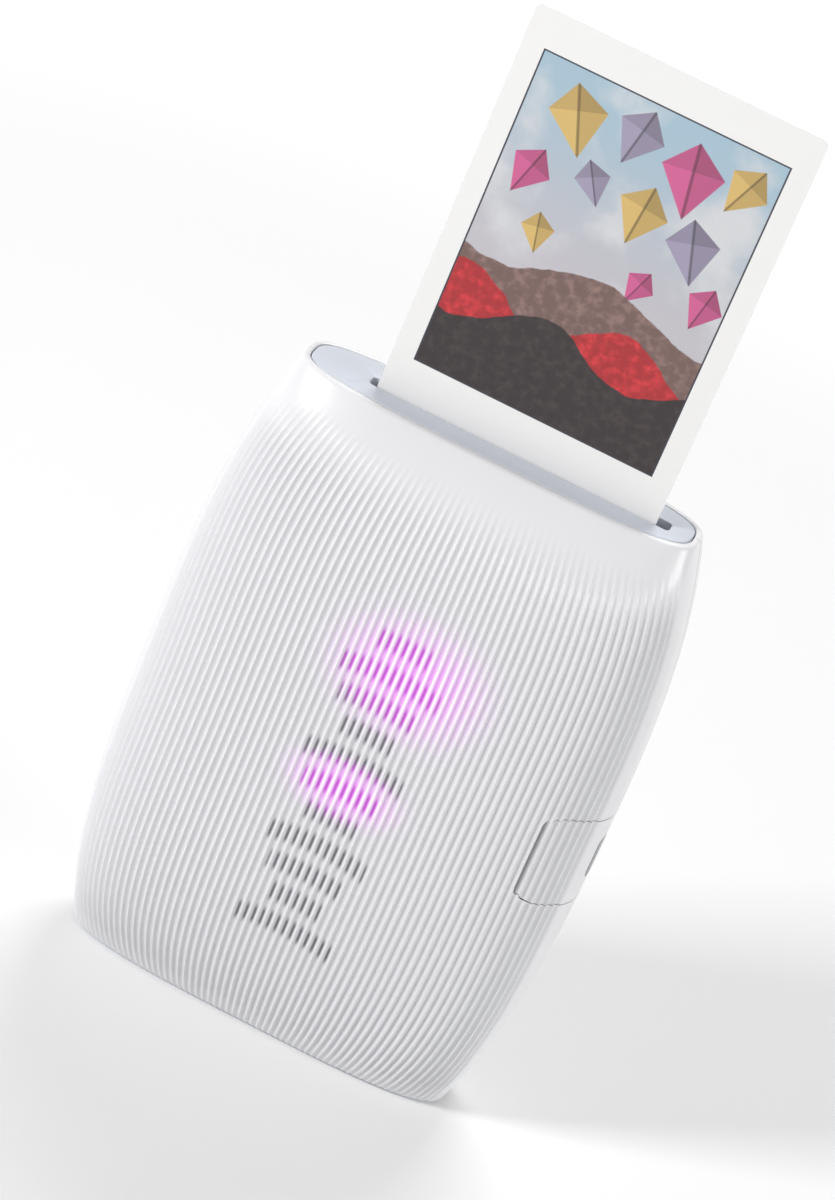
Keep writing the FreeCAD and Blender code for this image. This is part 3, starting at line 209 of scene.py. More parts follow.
# Fine moulded surface: faint cloudiness, a change of gloss and a very small grain
def buildGrainGroup():
    group, put, out = newGroup("mouldedSurface", {
        "Colour": (0.8, 0.8, 0.8, 1), "Clouding": 0.03, "Roughness": 0.4, "Gloss Change": 0.05,
        "Grain Scale": 6000.0}, ("Colour", "Roughness", "Height"))
    calc = partial(sumNode, group)
    places = placesOf(group)[0]
    cloud = calc("SUBTRACT", noiseOf(group, places, 45.0, 3.0), 0.5)
    tone = shaded(group, put["Colour"], calc("MULTIPLY_ADD", cloud, put["Clouding"], 1.0))
    group.links.new(tone, out["Colour"])
    group.links.new(calc("MULTIPLY_ADD", cloud, put["Gloss Change"], put["Roughness"]), out["Roughness"])
    group.links.new(noiseOf(group, places, put["Grain Scale"], 2.0), out["Height"])
    return group


grainGroup = buildGrainGroup()


def placeGrain(tree, shader, colour, roughness, clouding=0.04, glossChange=0.06, scale=6000.0,
               height=0.004):
    grain = addNode(tree, "ShaderNodeGroup", node_tree=grainGroup)
    setSockets(grain, {"Clouding": clouding, "Roughness": roughness, "Gloss Change": glossChange,
                       "Grain Scale": scale})
    feed(tree, colour, grain.inputs["Colour"])
    wearGroup(tree, shader, grain, 0.35, height)


def mouldedPlastic(name, colour, roughness, **grain):
    material, tree, shader = newMaterial(name)
    placeGrain(tree, shader, colour, roughness, **grain)
    return material


# The form, in the same words as the CAD source
form = {
    "height": 125 * mm, "width": 90 * mm, "depth": 37.3 * mm, "endWidth": 76.4 * mm, "endDepth": 18.8 * mm,
    "widthPower": 2.9, "depthPower": 5.0, "middleCorner": 2.4, "endCorner": 3.3, "wall": 1.8 * mm,
    "rimWall": 1.2 * mm, "seam": 0.3 * mm, "lift": 0.4 * mm, "outlineSteps": 720,
}
wallGrid = {
    "levels": 90, "insideLevels": 16, "backColumns": 161, "rounding": 0.5 * mm, "roundSteps": 7,
    "lip": 0.12 * mm, "footIn": 0.35 * mm, "footUp": 0.1 * mm, "footEnd": 0.3 * mm, "capRoom": 2.1 * mm,
    "baseRoom": 2.3 * mm, "outerSkin": 0.5 * mm, "merge": 0.0005 * mm, "turnStep": 0.002,
    "roomColumns": 97, "roomLevels": 26, "roomGap": 0.5 * mm,
}
ribs = {
    "count": 60, "columnsEach": 10, "depth": 0.42 * mm, "band": 7.4 * mm, "bandColumns": 8,
    "fadeTop": 4 * mm, "fadeLength": 12 * mm, "crest": 0.55, "footShare": 0.35, "footLength": 9 * mm,
}


def sectionAt(z):
    away = abs(z - form["height"] / 2) / (form["height"] / 2)
    halfWidth = (form["width"] - (form["width"] - form["endWidth"]) * away ** form["widthPower"]) / 2
    halfDepth = (form["depth"] - (form["depth"] - form["endDepth"]) * away ** form["depthPower"]) / 2
    corner = form["middleCorner"] + (form["endCorner"] - form["middleCorner"]) * away**2
    wall = form["wall"] + (form["rimWall"] - form["wall"]) * away ** form["depthPower"]
    return halfWidth, halfDepth, corner, wall


def depthAt(z, x, inset=0.0):
    halfWidth, halfDepth, corner = sectionAt(z)[:3]
    return (halfDepth - inset) * (1 - abs(x / (halfWidth - inset)) ** corner) ** (1 / corner)


# Points round one level by turn: -1 to 0 is the front from -X to +X, 0 to 1 the back
def levelPoints(z, inset, turns):
    halfWidth, halfDepth, corner = sectionAt(z)[:3]
    angles = np.linspace(0, math.pi, form["outlineSteps"] + 1)
    across = -np.sign(np.cos(angles)) * np.abs(np.cos(angles)) ** (2 / corner) * (halfWidth - inset)
    deep = np.abs(np.sin(angles)) ** (2 / corner) * (halfDepth - inset)
    front = np.stack([across, -deep], 1)
    back = np.stack([across, deep], 1)[::-1]
    ring = np.vstack([front, back[1:], front[1:]])
    steps = np.hypot(*np.diff(ring, axis=0).T)
    lengths = np.concatenate([[0], np.cumsum(steps)])
    lengths = lengths / lengths[form["outlineSteps"]] - 1
    x = np.interp(turns, lengths, ring[:, 0])
    y = np.interp(turns, lengths, ring[:, 1])
    step = wallGrid["turnStep"]
    ahead = np.stack([np.interp(turns + step, lengths, side) - np.interp(turns - step, lengths, side)
                      for side in ring.T], 1)
    ahead /= np.linalg.norm(ahead, axis=1)[:, None]
    inward = np.stack([-ahead[:, 1], ahead[:, 0]], 1)
    return np.stack([x, y], 1), inward


middle = levelPoints(form["height"] / 2, 0.0, np.linspace(-1, 0, 721))[0]
halfRound = float(np.hypot(*np.diff(middle, axis=0).T).sum())
bandShare = ribs["band"] / halfRound
seamShare = form["seam"] / 2 / halfRound


# How deep each turn lies in a flute, from 0 on a crest to 1 in a valley
def valleyDepth(turns):
    place = np.mod(turns + 1, 2) - 1                   # the front is -1 to 0, the back 0 to 1
    share = (place + 1 - bandShare) / (1 - 2 * bandShare)
    wave = 0.5 - 0.5 * np.cos(2 * math.pi * ribs["count"] * share)
    return np.where((share > 0) & (share < 1) & (place < 0), wave ** ribs["crest"], 0.0)


def fluteStrength(z):
    rise = min(1.0, max(0.0, (form["height"] - ribs["fadeTop"] - z) / ribs["fadeLength"]))
    foot = min(1.0, ribs["footShare"] + z / ribs["footLength"])
    return rise * rise * (3 - 2 * rise) * foot


# One closed wall: each column runs up the outside, over the rim, down the inside and back under
def wallRows(low, high, rimmed):
    steps = 0.5 - 0.5 * np.cos(np.linspace(0, math.pi, wallGrid["levels"]))
    outside = [(z, 0.0, z) for z in low + (high - low) * steps]
    if not rimmed:
        levels = np.linspace(high, low, wallGrid["insideLevels"])
        return outside + [(z, sectionAt(z)[3], z) for z in levels]
    top, rim, rounding, lip = form["height"], form["rimWall"], wallGrid["rounding"], wallGrid["lip"]
    outside = [row for row in outside if low + rounding * 0.7 < row[2] < top - rounding * 1.2]
    over = []
    for a in np.linspace(0, math.pi / 2, wallGrid["roundSteps"]):
        z = top - rounding * (1 - math.sin(a))
        over.append((z, rounding * (1 - math.cos(a)), z))
    shelf, base = top - wallGrid["capRoom"], wallGrid["baseRoom"]
    over += [(top, rim - lip, top), (top, rim, top - lip), (top, rim, shelf)]
    inside = [(z, sectionAt(z)[3], z) for z in np.linspace(shelf, base, wallGrid["insideLevels"])]
    foot = [(0.0, rim, base), (0.0, rim, low)]
    end = low + wallGrid["footEnd"]
    under = [(low, wallGrid["footIn"], low), (low, lip, low + wallGrid["footUp"]), (end, 0.0, end)]
    return outside + over + inside + foot + under


def turnColumns(start, end):
    count, steps = ribs["count"] * ribs["columnsEach"], ribs["bandColumns"]
    ribStep = (1 - 2 * bandShare) / count
    columns = []
    for base in (-1, 1):                               # the front, and the front again past the back
        columns += list(base + bandShare + ribStep * np.arange(count + 1))
        columns += list(base + bandShare * np.arange(steps) / steps)
        columns += list(base + 1 - bandShare * np.arange(steps) / steps)
    columns += list(np.linspace(0, 1, wallGrid["backColumns"]))
    kept = sorted({round(turn, 9) for turn in columns if start < turn < end} | {start, end})
    return np.array(kept)


# A grid whose points take the given places
def gridSolid(name, places):
    rows, columns = places.shape[:2]
    deselectAll()
    bpy.ops.mesh.primitive_grid_add(x_subdivisions=columns - 1, y_subdivisions=rows - 1, size=1)
    solid = added(name)
    solid.data.vertices.foreach_set("co", places.ravel())
    return solid


# With nothing selected in the mesh, edges or faces can be picked in code
def clearMesh(kind="EDGE"):
    editMode()
    bpy.ops.mesh.select_mode(type=kind)
    bpy.ops.mesh.select_all(action="DESELECT")
    objectMode()


def bevelPicked(offset, segments):
    editMode()
    bpy.ops.mesh.bevel(offset=offset, segments=segments, affect="EDGES")
    objectMode()


def facesOutward():
    editMode()
    bpy.ops.mesh.select_all(action="SELECT")
    bpy.ops.mesh.normals_make_consistent(inside=False)
    objectMode()


# Edges that meet are merged and the two open ends along an axis are filled
def closeSolid(solid, axis):
    editMode()
    bpy.ops.mesh.select_all(action="SELECT")
    bpy.ops.mesh.remove_doubles(threshold=wallGrid["merge"])
    bpy.ops.mesh.select_mode(type="EDGE")
    bpy.ops.mesh.select_all(action="DESELECT")
    bpy.ops.mesh.select_non_manifold(extend=False)
    objectMode()
    points = solid.data.vertices
    middles = {edge.index: sum(points[v].co[axis] for v in edge.vertices) / 2
               for edge in solid.data.edges if edge.select}
    halfway = (min(middles.values()) + max(middles.values())) / 2
    for upper in (False, True):                        # one open end at a time
        clearMesh()
        for index, place in middles.items():
            if (place > halfway) == upper:
                solid.data.edges[index].select = True
        editMode()
        bpy.ops.mesh.fill(use_beauty=False)
        objectMode()
    facesOutward()
    return solid


def buildWall(name, start, end, low, high, rimmed=True):
    turns = turnColumns(start, end)
    rows = wallRows(low, high, rimmed)
    rows.append(rows[0])                               # the last row closes on the first
    places = np.zeros((len(rows), len(turns), 3))
    valleys = np.zeros((len(rows), len(turns)))
    for number, (level, inset, z) in enumerate(rows):
        flat, inward = levelPoints(level, inset, turns)
        if inset < wallGrid["outerSkin"]:
            valleys[number] = valleyDepth(turns) * fluteStrength(level)
            flat = flat + inward * (valleys[number] * ribs["depth"])[:, None]
        places[number, :, :2] = flat
        places[number, :, 2] = z
    wall = gridSolid(name, places)
    mark = wall.data.attributes.new("valley", "FLOAT", "POINT")
    mark.data.foreach_set("value", valleys.ravel().astype(np.float32))
    return closeSolid(wall, 0 if rimmed else 1)


# The room inside the walls, which trims the posts where they meet the front
def buildRoom(name, inset):
    turns, gap = np.linspace(-1, 1, wallGrid["roomColumns"]), wallGrid["roomGap"]
    levels = np.linspace(gap, form["height"] - gap, wallGrid["roomLevels"])
    places = np.zeros((len(levels), len(turns), 3))
    for number, z in enumerate(levels):
        places[number, :, :2] = levelPoints(z, inset, turns)[0]
        places[number, :, 2] = z
    return closeSolid(gridSolid(name, places), 2)


# Cutters and pieces made from a block with rounded edges
def roundedBlock(name, low, high, radius, axis, segments=6):
    deselectAll()
    centre = [(a + b) / 2 for a, b in zip(low, high)]
    bpy.ops.mesh.primitive_cube_add(size=1, location=centre, scale=[b - a for a, b in zip(low, high)])
    block = added(name)
    bpy.ops.object.transform_apply(location=True, rotation=True, scale=True)
    clearMesh()
    for edge in block.data.edges:
        a, b = (block.data.vertices[index].co for index in edge.vertices)
        edge.select = abs((b - a).normalized()[axis]) > 0.9
    bevelPicked(radius, segments)
    return block


def roundBar(name, start, end, radius, sides=48):
    start, end = Vector(start), Vector(end)
    deselectAll()
    bpy.ops.mesh.primitive_cylinder_add(vertices=sides, radius=radius, depth=(end - start).length,
                                        location=(start + end) / 2)
    bar = added(name)
    bar.rotation_mode = "QUATERNION"
    bar.rotation_quaternion = (end - start).to_track_quat("Z", "Y")
    bpy.ops.object.transform_apply(location=True, rotation=True, scale=True)
    return bar


def bevelEdges(piece, width):
    selectOnly(piece)
    bpy.ops.object.modifier_add(type="BEVEL")
    bevel = piece.modifiers[-1]
    bevel.width, bevel.segments, bevel.limit_method, bevel.angle_limit = width, 3, "ANGLE", math.radians(40)
    bpy.ops.object.modifier_apply(modifier=bevel.name)


def combine(piece, tool, operation, keepTool=False):
    selectOnly(piece)
    modifier = piece.modifiers.new("combine", "BOOLEAN")
    modifier.operation, modifier.solver, modifier.object = operation, "MANIFOLD", tool
    bpy.ops.object.modifier_apply(modifier=modifier.name)
    if not keepTool:
        bpy.data.objects.remove(tool)
    return piece


def cut(piece, tool):
    return combine(piece, tool, "DIFFERENCE")


def join(piece, tool):
    return combine(piece, tool, "UNION")


def finishPiece(piece, material, body, slotName, *replaced, angle=50):
    selectOnly(piece)
    bpy.ops.object.shade_smooth_by_angle(angle=math.radians(angle))
    piece.data.materials.clear()
    piece.data.materials.append(material)
    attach(piece, body)
    if replaced:
        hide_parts(*replaced)
    return piece


# Side windows: the port's on +X and the button's on -X
window = {
    "bottom": 51.5 * mm, "top": 70.1 * mm, "radius": 2.6 * mm, "inner": 26 * mm, "outer": 46 * mm,
    "portSide": (-13 * mm, 9 * mm), "keySide": (-1.6 * mm, 11.4 * mm), "seam": 0.2 * mm,
}


def windowBlock(side, seam):
    xLow, xHigh = sorted((side * window["inner"], side * window["outer"]))
    front, back = window["portSide"] if side > 0 else window["keySide"]
    return roundedBlock("windowBlock", (xLow, front - seam, window["bottom"] - seam),
                        (xHigh, back + seam, window["top"] + seam), window["radius"] + seam, 0, 10)


# Front shell: the fluted wall with its posts for the chassis and the light board
posts = {
    "radius": 1.7 * mm, "hole": 0.75 * mm, "end": -5.1 * mm, "holeStart": -8.8 * mm, "start": -20 * mm,
    "across": (-31.7 * mm, 37.9 * mm), "heights": (28 * mm, 79 * mm),
    "lightRadius": 0.85 * mm, "lightEnd": -14.4 * mm, "lightAcross": (-9.2 * mm, 15.4 * mm),
    "lightHeights": (51.7 * mm, 94.3 * mm),
}
frontShell = buildWall("frontShell", -1 + seamShare, -seamShare, form["lift"], form["height"])
for side in (-1, 1):
    cut(frontShell, windowBlock(side, window["seam"]))
room = buildRoom("room", form["wall"] / 2)
for places, heights, radius, end in (
        (posts["across"], posts["heights"], posts["radius"], posts["end"]),
        (posts["lightAcross"], posts["lightHeights"], posts["lightRadius"], posts["lightEnd"])):
    for x in places:
        for z in heights:
            post = roundBar("post", (x, posts["start"], z), (x, end, z), radius)
            join(frontShell, combine(post, room, "INTERSECT", keepTool=True))
for x in posts["across"]:
    for z in posts["heights"]:
        cut(frontShell, roundBar("hole", (x, posts["holeStart"], z), (x, 0, z), posts["hole"], 24))
print("front shell", len(frontShell.data.polygons), "faces")

# Rear shell and the film door, which share the door's outline and the hinge line
door = {
    "left": -29.9 * mm, "right": 36.1 * mm, "top": 109.5 * mm, "gap": 0.35 * mm, "radius": 4 * mm,
    "hingeY": 13.2643 * mm, "hingeZ": 12 * mm, "roll": 2.3 * mm, "barrel": 1.7 * mm, "pinHole": 0.8 * mm,
    "barrelEnd": 12 * mm, "knuckleStart": 12.3 * mm, "knuckleEnd": 15.3 * mm, "pin": 20 * mm,
    "back": 40 * mm, "relief": 0.6 * mm,
}


def hingeBar(start, end, radius, sides=48):
    y, z = door["hingeY"], door["hingeZ"]
    return roundBar("hingeBar", (start, y, z), (end, y, z), radius, sides)


def plainBlock(low, high):
    return roundedBlock("plainBlock", low, high, 0, 0)


def doorBlock(gap):
    low = (door["left"] - gap, door["hingeY"] - 3 * door["roll"], door["hingeZ"] - gap)
    high = (door["right"] + gap, door["back"], door["top"] + gap)
    block = roundedBlock("doorBlock", low, high, 0, 1)
    for edge in block.data.edges:
        a, b = (block.data.vertices[index].co for index in edge.vertices)
        edge.select = min(a.z, b.z) > form["height"] / 2 and abs(a.y - b.y) > door["roll"]
    bevelPicked(door["radius"] + gap, 12)
    return join(block, hingeBar(low[0], high[0], door["roll"] + gap, 64))


knuckles = []
for side in (-1, 1):
    start, end = sorted((side * door["knuckleStart"], side * door["knuckleEnd"]))
    web = plainBlock((start, door["hingeY"] - door["barrel"], door["hingeZ"] - 2 * door["roll"]),
                     (end, door["hingeY"] - form["seam"], door["hingeZ"]))
    knuckles.append(join(web, hingeBar(start, end, door["barrel"])))

lock = {
    "stem": 3 * mm, "travel": 3 * mm, "height": 113.6 * mm, "knob": (9 * mm, 1.3 * mm, 4.6 * mm),
    "lift": 0.3 * mm, "radius": 0.6 * mm, "edge": 0.3 * mm, "tongueY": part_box("door_lock")[0].y + 0.45 * mm,
    "tongueHalf": 0.45 * mm, "tongueDrop": 7.6 * mm, "stemReach": 0.8 * mm, "grips": 5,
    "gripStep": 1.3 * mm, "gripDepth": 0.3 * mm, "gripSink": 0.12 * mm, "gripEnd": 0.7 * mm,
    "catchSlot": 1.9 * mm, "catchLip": 1.2 * mm,
}
rearShell = buildWall("rearShell", seamShare, 1 - seamShare, form["lift"], form["height"])
cut(rearShell, doorBlock(door["gap"]))
reliefLow = door["hingeZ"] - door["roll"] - door["relief"]
cut(rearShell, plainBlock((door["left"], door["hingeY"] + form["seam"], reliefLow),
                          (door["right"], door["back"], reliefLow + door["roll"])))
reach = lock["stem"] / 2 + form["seam"]
cut(rearShell, plainBlock((-reach, 0, lock["height"] - reach),
                          (reach + lock["travel"], door["back"], lock["height"] + reach)))
for side in (-1, 1):
    cut(rearShell, windowBlock(side, window["seam"]))
for knuckle in knuckles:
    join(rearShell, knuckle)
cut(rearShell, hingeBar(-door["pin"], door["pin"], door["pinHole"]))

filmDoor = buildWall("filmDoorLeaf", seamShare, 1 - seamShare, form["lift"], form["height"])
combine(filmDoor, doorBlock(0.0), "INTERSECT")
for side in (-1, 1):
    start, end = sorted((side * door["barrelEnd"], side * (door["knuckleEnd"] + form["seam"])))
    cut(filmDoor, hingeBar(start, end, door["barrel"] + door["gap"]))
    low = [place - 2 * door["roll"] for place in (door["hingeY"], door["hingeZ"])]
    cut(filmDoor, plainBlock((start, *low), (end, door["back"], door["hingeZ"])))
join(filmDoor, hingeBar(-door["barrelEnd"], door["barrelEnd"], door["barrel"]))
cut(filmDoor, hingeBar(-door["pin"], door["pin"], door["pinHole"]))
catchLow = lock["stem"] / 2 + 2 * door["gap"]
catchEnd = catchLow + lock["travel"] + lock["catchLip"]
catchZ = lock["height"] - lock["tongueDrop"] - lock["stem"] / 2
catchTop = catchZ + lock["stem"]
catchFront = lock["tongueY"] - lock["catchSlot"] / 2
catch = plainBlock((catchLow, catchFront - lock["catchLip"], catchZ),
                   (catchEnd, depthAt(catchTop, catchEnd, form["wall"] / 2), catchTop))
cut(catch, plainBlock((catchLow - mm, catchFront, catchZ - mm),
                      (catchEnd - lock["catchLip"], catchFront + lock["catchSlot"], catchTop + mm)))
join(filmDoor, catch)
print("rear shell and film door", len(rearShell.data.polygons), len(filmDoor.data.polygons), "faces")

# Side panels: the wall's own form inside the windows, with the port and the button's hole
sideParts = {
    "portY": -1.5 * mm, "portHalf": (1.8 * mm, 4.65 * mm), "portRadius": 1.65 * mm, "z": 60.8 * mm,
    "keyY": 4.9 * mm, "keyHalf": (2.75 * mm, 5.25 * mm), "keyRadius": 2.25 * mm, "reach": 0.16,
    "near": 35 * mm, "far": 50 * mm,
}


def sidePanel(name, side):
    middleTurn = 0.0 if side > 0 else 1.0
    panel = buildWall(name, middleTurn - sideParts["reach"], middleTurn + sideParts["reach"],
                      window["bottom"] - form["seam"], window["top"] + form["seam"], rimmed=False)
    combine(panel, windowBlock(side, 0.0), "INTERSECT")
    kind = "port" if side > 0 else "key"
    y, z, (halfWide, halfTall) = sideParts[kind + "Y"], sideParts["z"], sideParts[kind + "Half"]
    xLow, xHigh = sorted((side * sideParts["near"], side * sideParts["far"]))
    return cut(panel, roundedBlock(kind + "Hole", (xLow, y - halfWide, z - halfTall),
                                   (xHigh, y + halfWide, z + halfTall), sideParts[kind + "Radius"], 0, 10))


portPanel = sidePanel("portPanelSkin", 1)
buttonPanel = sidePanel("buttonPanelSkin", -1)
print("side panels", len(portPanel.data.polygons), len(buttonPanel.data.polygons), "faces")

# Cap plate: the rim's outline, a softened edge and the slot with its own rounding
capPlate = {
    "inset": 1.45 * mm, "thickness": 1.8 * mm, "edge": 0.3 * mm, "steps": 288,
    "slot": (-25.4 * mm, 32.6 * mm, -2.3 * mm, 1.0 * mm),   # left, right, front, back
    "slotRadius": 0.9 * mm, "slotEdge": 0.22 * mm, "near": 0.05 * mm,
}


def pickRim(piece, height, keep):
    clearMesh()
    for edge in piece.data.edges:
        ends = [piece.data.vertices[index].co for index in edge.vertices]
        edge.select = all(abs(end.z - height) < 0.001 * mm and keep(end) for end in ends)


def buildCap(values):
    turns = np.linspace(-1, 1, values["steps"] + 1)[:-1]
    outline = levelPoints(form["height"], values["inset"], turns)[0]
    deselectAll()
    bpy.ops.mesh.primitive_circle_add(vertices=values["steps"], radius=form["width"] / 2, fill_type="NGON")
    cap = added("capPlate")
    top, bottom = form["height"], form["height"] - values["thickness"]
    order = np.argsort([math.atan2(v.co.y, v.co.x) for v in cap.data.vertices])
    ring = outline[np.argsort(np.arctan2(outline[:, 1], outline[:, 0]))]
    for place, index in zip(ring, order):
        cap.data.vertices[index].co = (*place, bottom)
    editMode()
    bpy.ops.mesh.select_all(action="SELECT")
    bpy.ops.mesh.extrude_region_move(TRANSFORM_OT_translate={"value": (0, 0, values["thickness"])})
    facesOutward()
    pickRim(cap, top, lambda end: True)
    bevelPicked(values["edge"], 4)
    left, right, front, back = values["slot"]
    cut(cap, roundedBlock("slot", (left, front, bottom - 1 * mm), (right, back, top + 1 * mm),
                          values["slotRadius"], 2, 8))
    left, right = left - values["near"], right + values["near"]
    front, back = front - values["near"], back + values["near"]
    pickRim(cap, top, lambda end: left < end.x < right and front < end.y < back)
    bevelPicked(values["slotEdge"], 3)
    return cap


topCap = buildCap(capPlate)
print("cap plate", len(topCap.data.polygons), "faces")

# Print: a thin sheet whose picture lies a little lower than its white frame
printSheet = {
    "left": -23.9 * mm, "right": 30.1 * mm, "bottom": 115.5 * mm, "top": 201.5 * mm, "front": -1.925 * mm,
    "back": -1.675 * mm, "corner": 1.2 * mm, "pictureLeft": -19.9 * mm, "pictureRight": 26.1 * mm,
    "pictureBottom": 132.6 * mm, "pictureTop": 194.6 * mm, "sink": 0.03 * mm, "pictureCorner": 0.4 * mm,
}


def buildPrint(values):
    sheet = roundedBlock("printSheet", (values["left"], values["front"], values["bottom"]),
                         (values["right"], values["back"], values["top"]), values["corner"], 1, 8)
    low = (values["pictureLeft"], values["front"] - 1 * mm, values["pictureBottom"])
    high = (values["pictureRight"], values["front"] + values["sink"], values["pictureTop"])
    return cut(sheet, roundedBlock("picture", low, high, values["pictureCorner"], 1, 4))


photoPrint = buildPrint(printSheet)
print("print", len(photoPrint.data.polygons), "faces")

# Power button: a rounded key with a shallow dish, its flange and its stem
button = {
    "face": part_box("power_button")[0].x, "flange": -39.144 * mm, "flangeDepth": 0.9 * mm,
    "height": 10 * mm, "width": 5 * mm, "radius": 2.3 * mm, "edge": 0.45 * mm, "dishInset": 0.9 * mm,
    "dish": 0.18 * mm, "stemEnd": -37.65 * mm, "stemRadius": 1 * mm, "flangeReach": 1.15 * mm,
}


def buildButton(values):
    y, z = sideParts["keyY"], sideParts["z"]
    halfWide, halfTall = values["width"] / 2, values["height"] / 2
    key = roundedBlock("powerKey", (values["face"], y - halfWide, z - halfTall),
                       (values["flange"], y + halfWide, z + halfTall), values["radius"], 0, 12)
    clearMesh("FACE")
    for face in key.data.polygons:
        face.select = face.normal.x < -0.9
    editMode()
    bpy.ops.mesh.inset(thickness=values["dishInset"])
    bpy.ops.transform.translate(value=(values["dish"], 0, 0))
    objectMode()
    bevelEdges(key, values["edge"])
    halfWide, halfTall = halfWide + values["flangeReach"], halfTall + values["flangeReach"]
    join(key, roundedBlock("flange", (values["flange"] - 0.02 * mm, y - halfWide, z - halfTall),
                           (values["flange"] + values["flangeDepth"], y + halfWide, z + halfTall),
                           values["radius"], 0, 8))
    stem = roundBar("stem", (values["flange"], y, z), (values["stemEnd"], y, z), values["stemRadius"], 32)
    return join(key, stem)


powerKey = buildButton(button)
print("power key", len(powerKey.data.polygons), "faces")


# Door lock: a knob with raised grips, on the slant of the wall, with its stem and tongue
def buildLock(values):
    middle, half = values["height"], values["stem"] / 2
    depth = depthAt(middle, 0.0)
    rise = depthAt(middle - values["stem"], 0.0) - depthAt(middle + values["stem"], 0.0)
    wide, thick, tall = values["knob"]
    outer = values["lift"] + thick
    knob = roundedBlock("lockKnob", (-wide / 2, values["lift"], -tall / 2), (wide / 2, outer, tall / 2),
                        values["radius"], 1, 6)
    bevelEdges(knob, values["edge"])
    grip = tall / 2 - values["gripEnd"]
    for number in range(values["grips"]):
        x, y = (number - (values["grips"] - 1) / 2) * values["gripStep"], outer + values["gripSink"]
        cut(knob, roundBar("groove", (x, y, -grip), (x, y, grip), values["gripDepth"], 20))
    selectOnly(knob)
    knob.rotation_euler = (math.atan(rise / (2 * values["stem"])), 0, 0)
    knob.location = (0, depth, middle)
    bpy.ops.object.transform_apply(location=True, rotation=True, scale=True)
    front, back = values["tongueY"] - values["tongueHalf"], values["tongueY"] + values["tongueHalf"]
    stemEnd, tongueFoot = depth + values["stemReach"], middle - values["tongueDrop"]
    join(knob, plainBlock((-half, front, middle - half), (half, stemEnd, middle + half)))
    return join(knob, plainBlock((-half, front, tongueFoot), (half, back, middle + half * 0.9)))


lockKnob = buildLock(lock)
print("door lock", len(lockKnob.data.polygons), "faces")

# Picture on the print: kites over dark hills, drawn from plain shapes on the sheet's own coordinates
pictureLook = {
    "frame": (0.86, 0.855, 0.845), "edge": 0.35 * mm, "edgeColour": (0.03, 0.03, 0.05),
    "skyTop": (0.36, 0.50, 0.60), "skyLow": (0.52, 0.50, 0.54), "haze": (0.64, 0.65, 0.67),
    "hillFar": (0.16, 0.095, 0.085), "hillNear": (0.02, 0.012, 0.013),
    "kites": (                      # x, z from the picture's middle, half width, half height, turn, colour
        (-13.0, 22.0, 5.2, 6.6, 0.35, "gold"), (-2.5, 24.0, 4.4, 5.6, -0.2, "lilac"),
        (8.5, 21.0, 5.6, 7.0, 0.15, "rose"), (17.5, 23.5, 4.0, 5.2, -0.4, "gold"),
        (-17.5, 10.0, 3.8, 5.0, -0.3, "rose"), (-6.5, 13.0, 3.2, 4.2, 0.5, "lilac"),
        (3.0, 11.5, 4.6, 5.8, -0.1, "gold"), (13.5, 9.5, 4.8, 6.0, 0.3, "lilac"),
        (19.0, 1.0, 3.4, 4.4, -0.2, "rose"), (-12.0, 0.5, 3.0, 3.8, 0.2, "gold"),
        (7.5, -0.5, 2.8, 3.6, -0.35, "rose"),
    ),
    "hills": (                      # height, swing, wave, ruggedness, colour
        (-5.0, 2.6, 0.16, 2.2, "hillFar"), (-13.0, 3.4, 0.21, 3.0, "red"),
        (-16.5, 3.2, 0.19, 2.4, "hillNear"),
    ),
    "gold": (0.50, 0.34, 0.11), "lilac": (0.26, 0.23, 0.32), "rose": (0.46, 0.08, 0.21),
    "red": (0.38, 0.012, 0.018),
}
kiteLook = {
    "waist": 0.25, "upper": 1.34, "lower": 0.8, "soft": (1.03, 0.97), "facet": 0.28, "light": 1.05,
    "spar": (0.07, 0.03), "sparShade": -0.55,
}


# A kite: a turned diamond with a lighter upper half and a thin spar; mask and shade over the sheet
def buildKiteGroup(look):
    group, put, out = newGroup("kiteShape", {
        "X": 0.0, "Z": 0.0, "Half Width": 4.0, "Half Height": 5.0, "Turn": 0.0, "At X": 0.0, "At Z": 0.0,
        "Colour": (1, 1, 1, 1), "Under": (1, 1, 1, 1)}, ("Colour",))
    calc = partial(sumNode, group)
    across, rise = calc("SUBTRACT", put["X"], put["At X"]), calc("SUBTRACT", put["Z"], put["At Z"])
    sine, cosine = calc("SINE", put["Turn"]), calc("COSINE", put["Turn"])
    u = calc("ADD", calc("MULTIPLY", across, cosine), calc("MULTIPLY", rise, sine))
    v = calc("SUBTRACT", calc("MULTIPLY", rise, cosine), calc("MULTIPLY", across, sine))
    wide = calc("DIVIDE", calc("ABSOLUTE", u), put["Half Width"])
    tall = calc("DIVIDE", v, put["Half Height"])
    low = calc("LESS_THAN", tall, look["waist"])
    upper = calc("MULTIPLY", calc("SUBTRACT", tall, look["waist"]), look["upper"])
    lower = calc("MULTIPLY", calc("SUBTRACT", look["waist"], tall), look["lower"])
    reach = calc("ADD", calc("MULTIPLY", lower, low), calc("MULTIPLY", upper, calc("SUBTRACT", 1.0, low)))
    inside = smoothRange(group, calc("ADD", wide, reach), *look["soft"])
    facets = calc("SUBTRACT", low, calc("GREATER_THAN", u, 0.0))
    shade = calc("MULTIPLY_ADD", facets, look["facet"], look["light"])
    spar = smoothRange(group, wide, *look["spar"])
    shade = calc("MULTIPLY", shade, calc("MULTIPLY_ADD", spar, look["sparShade"], 1.0))
    tone = shaded(group, put["Colour"], shade)
    group.links.new(mixColours(group, inside, put["Under"], tone), out["Colour"])
    return group


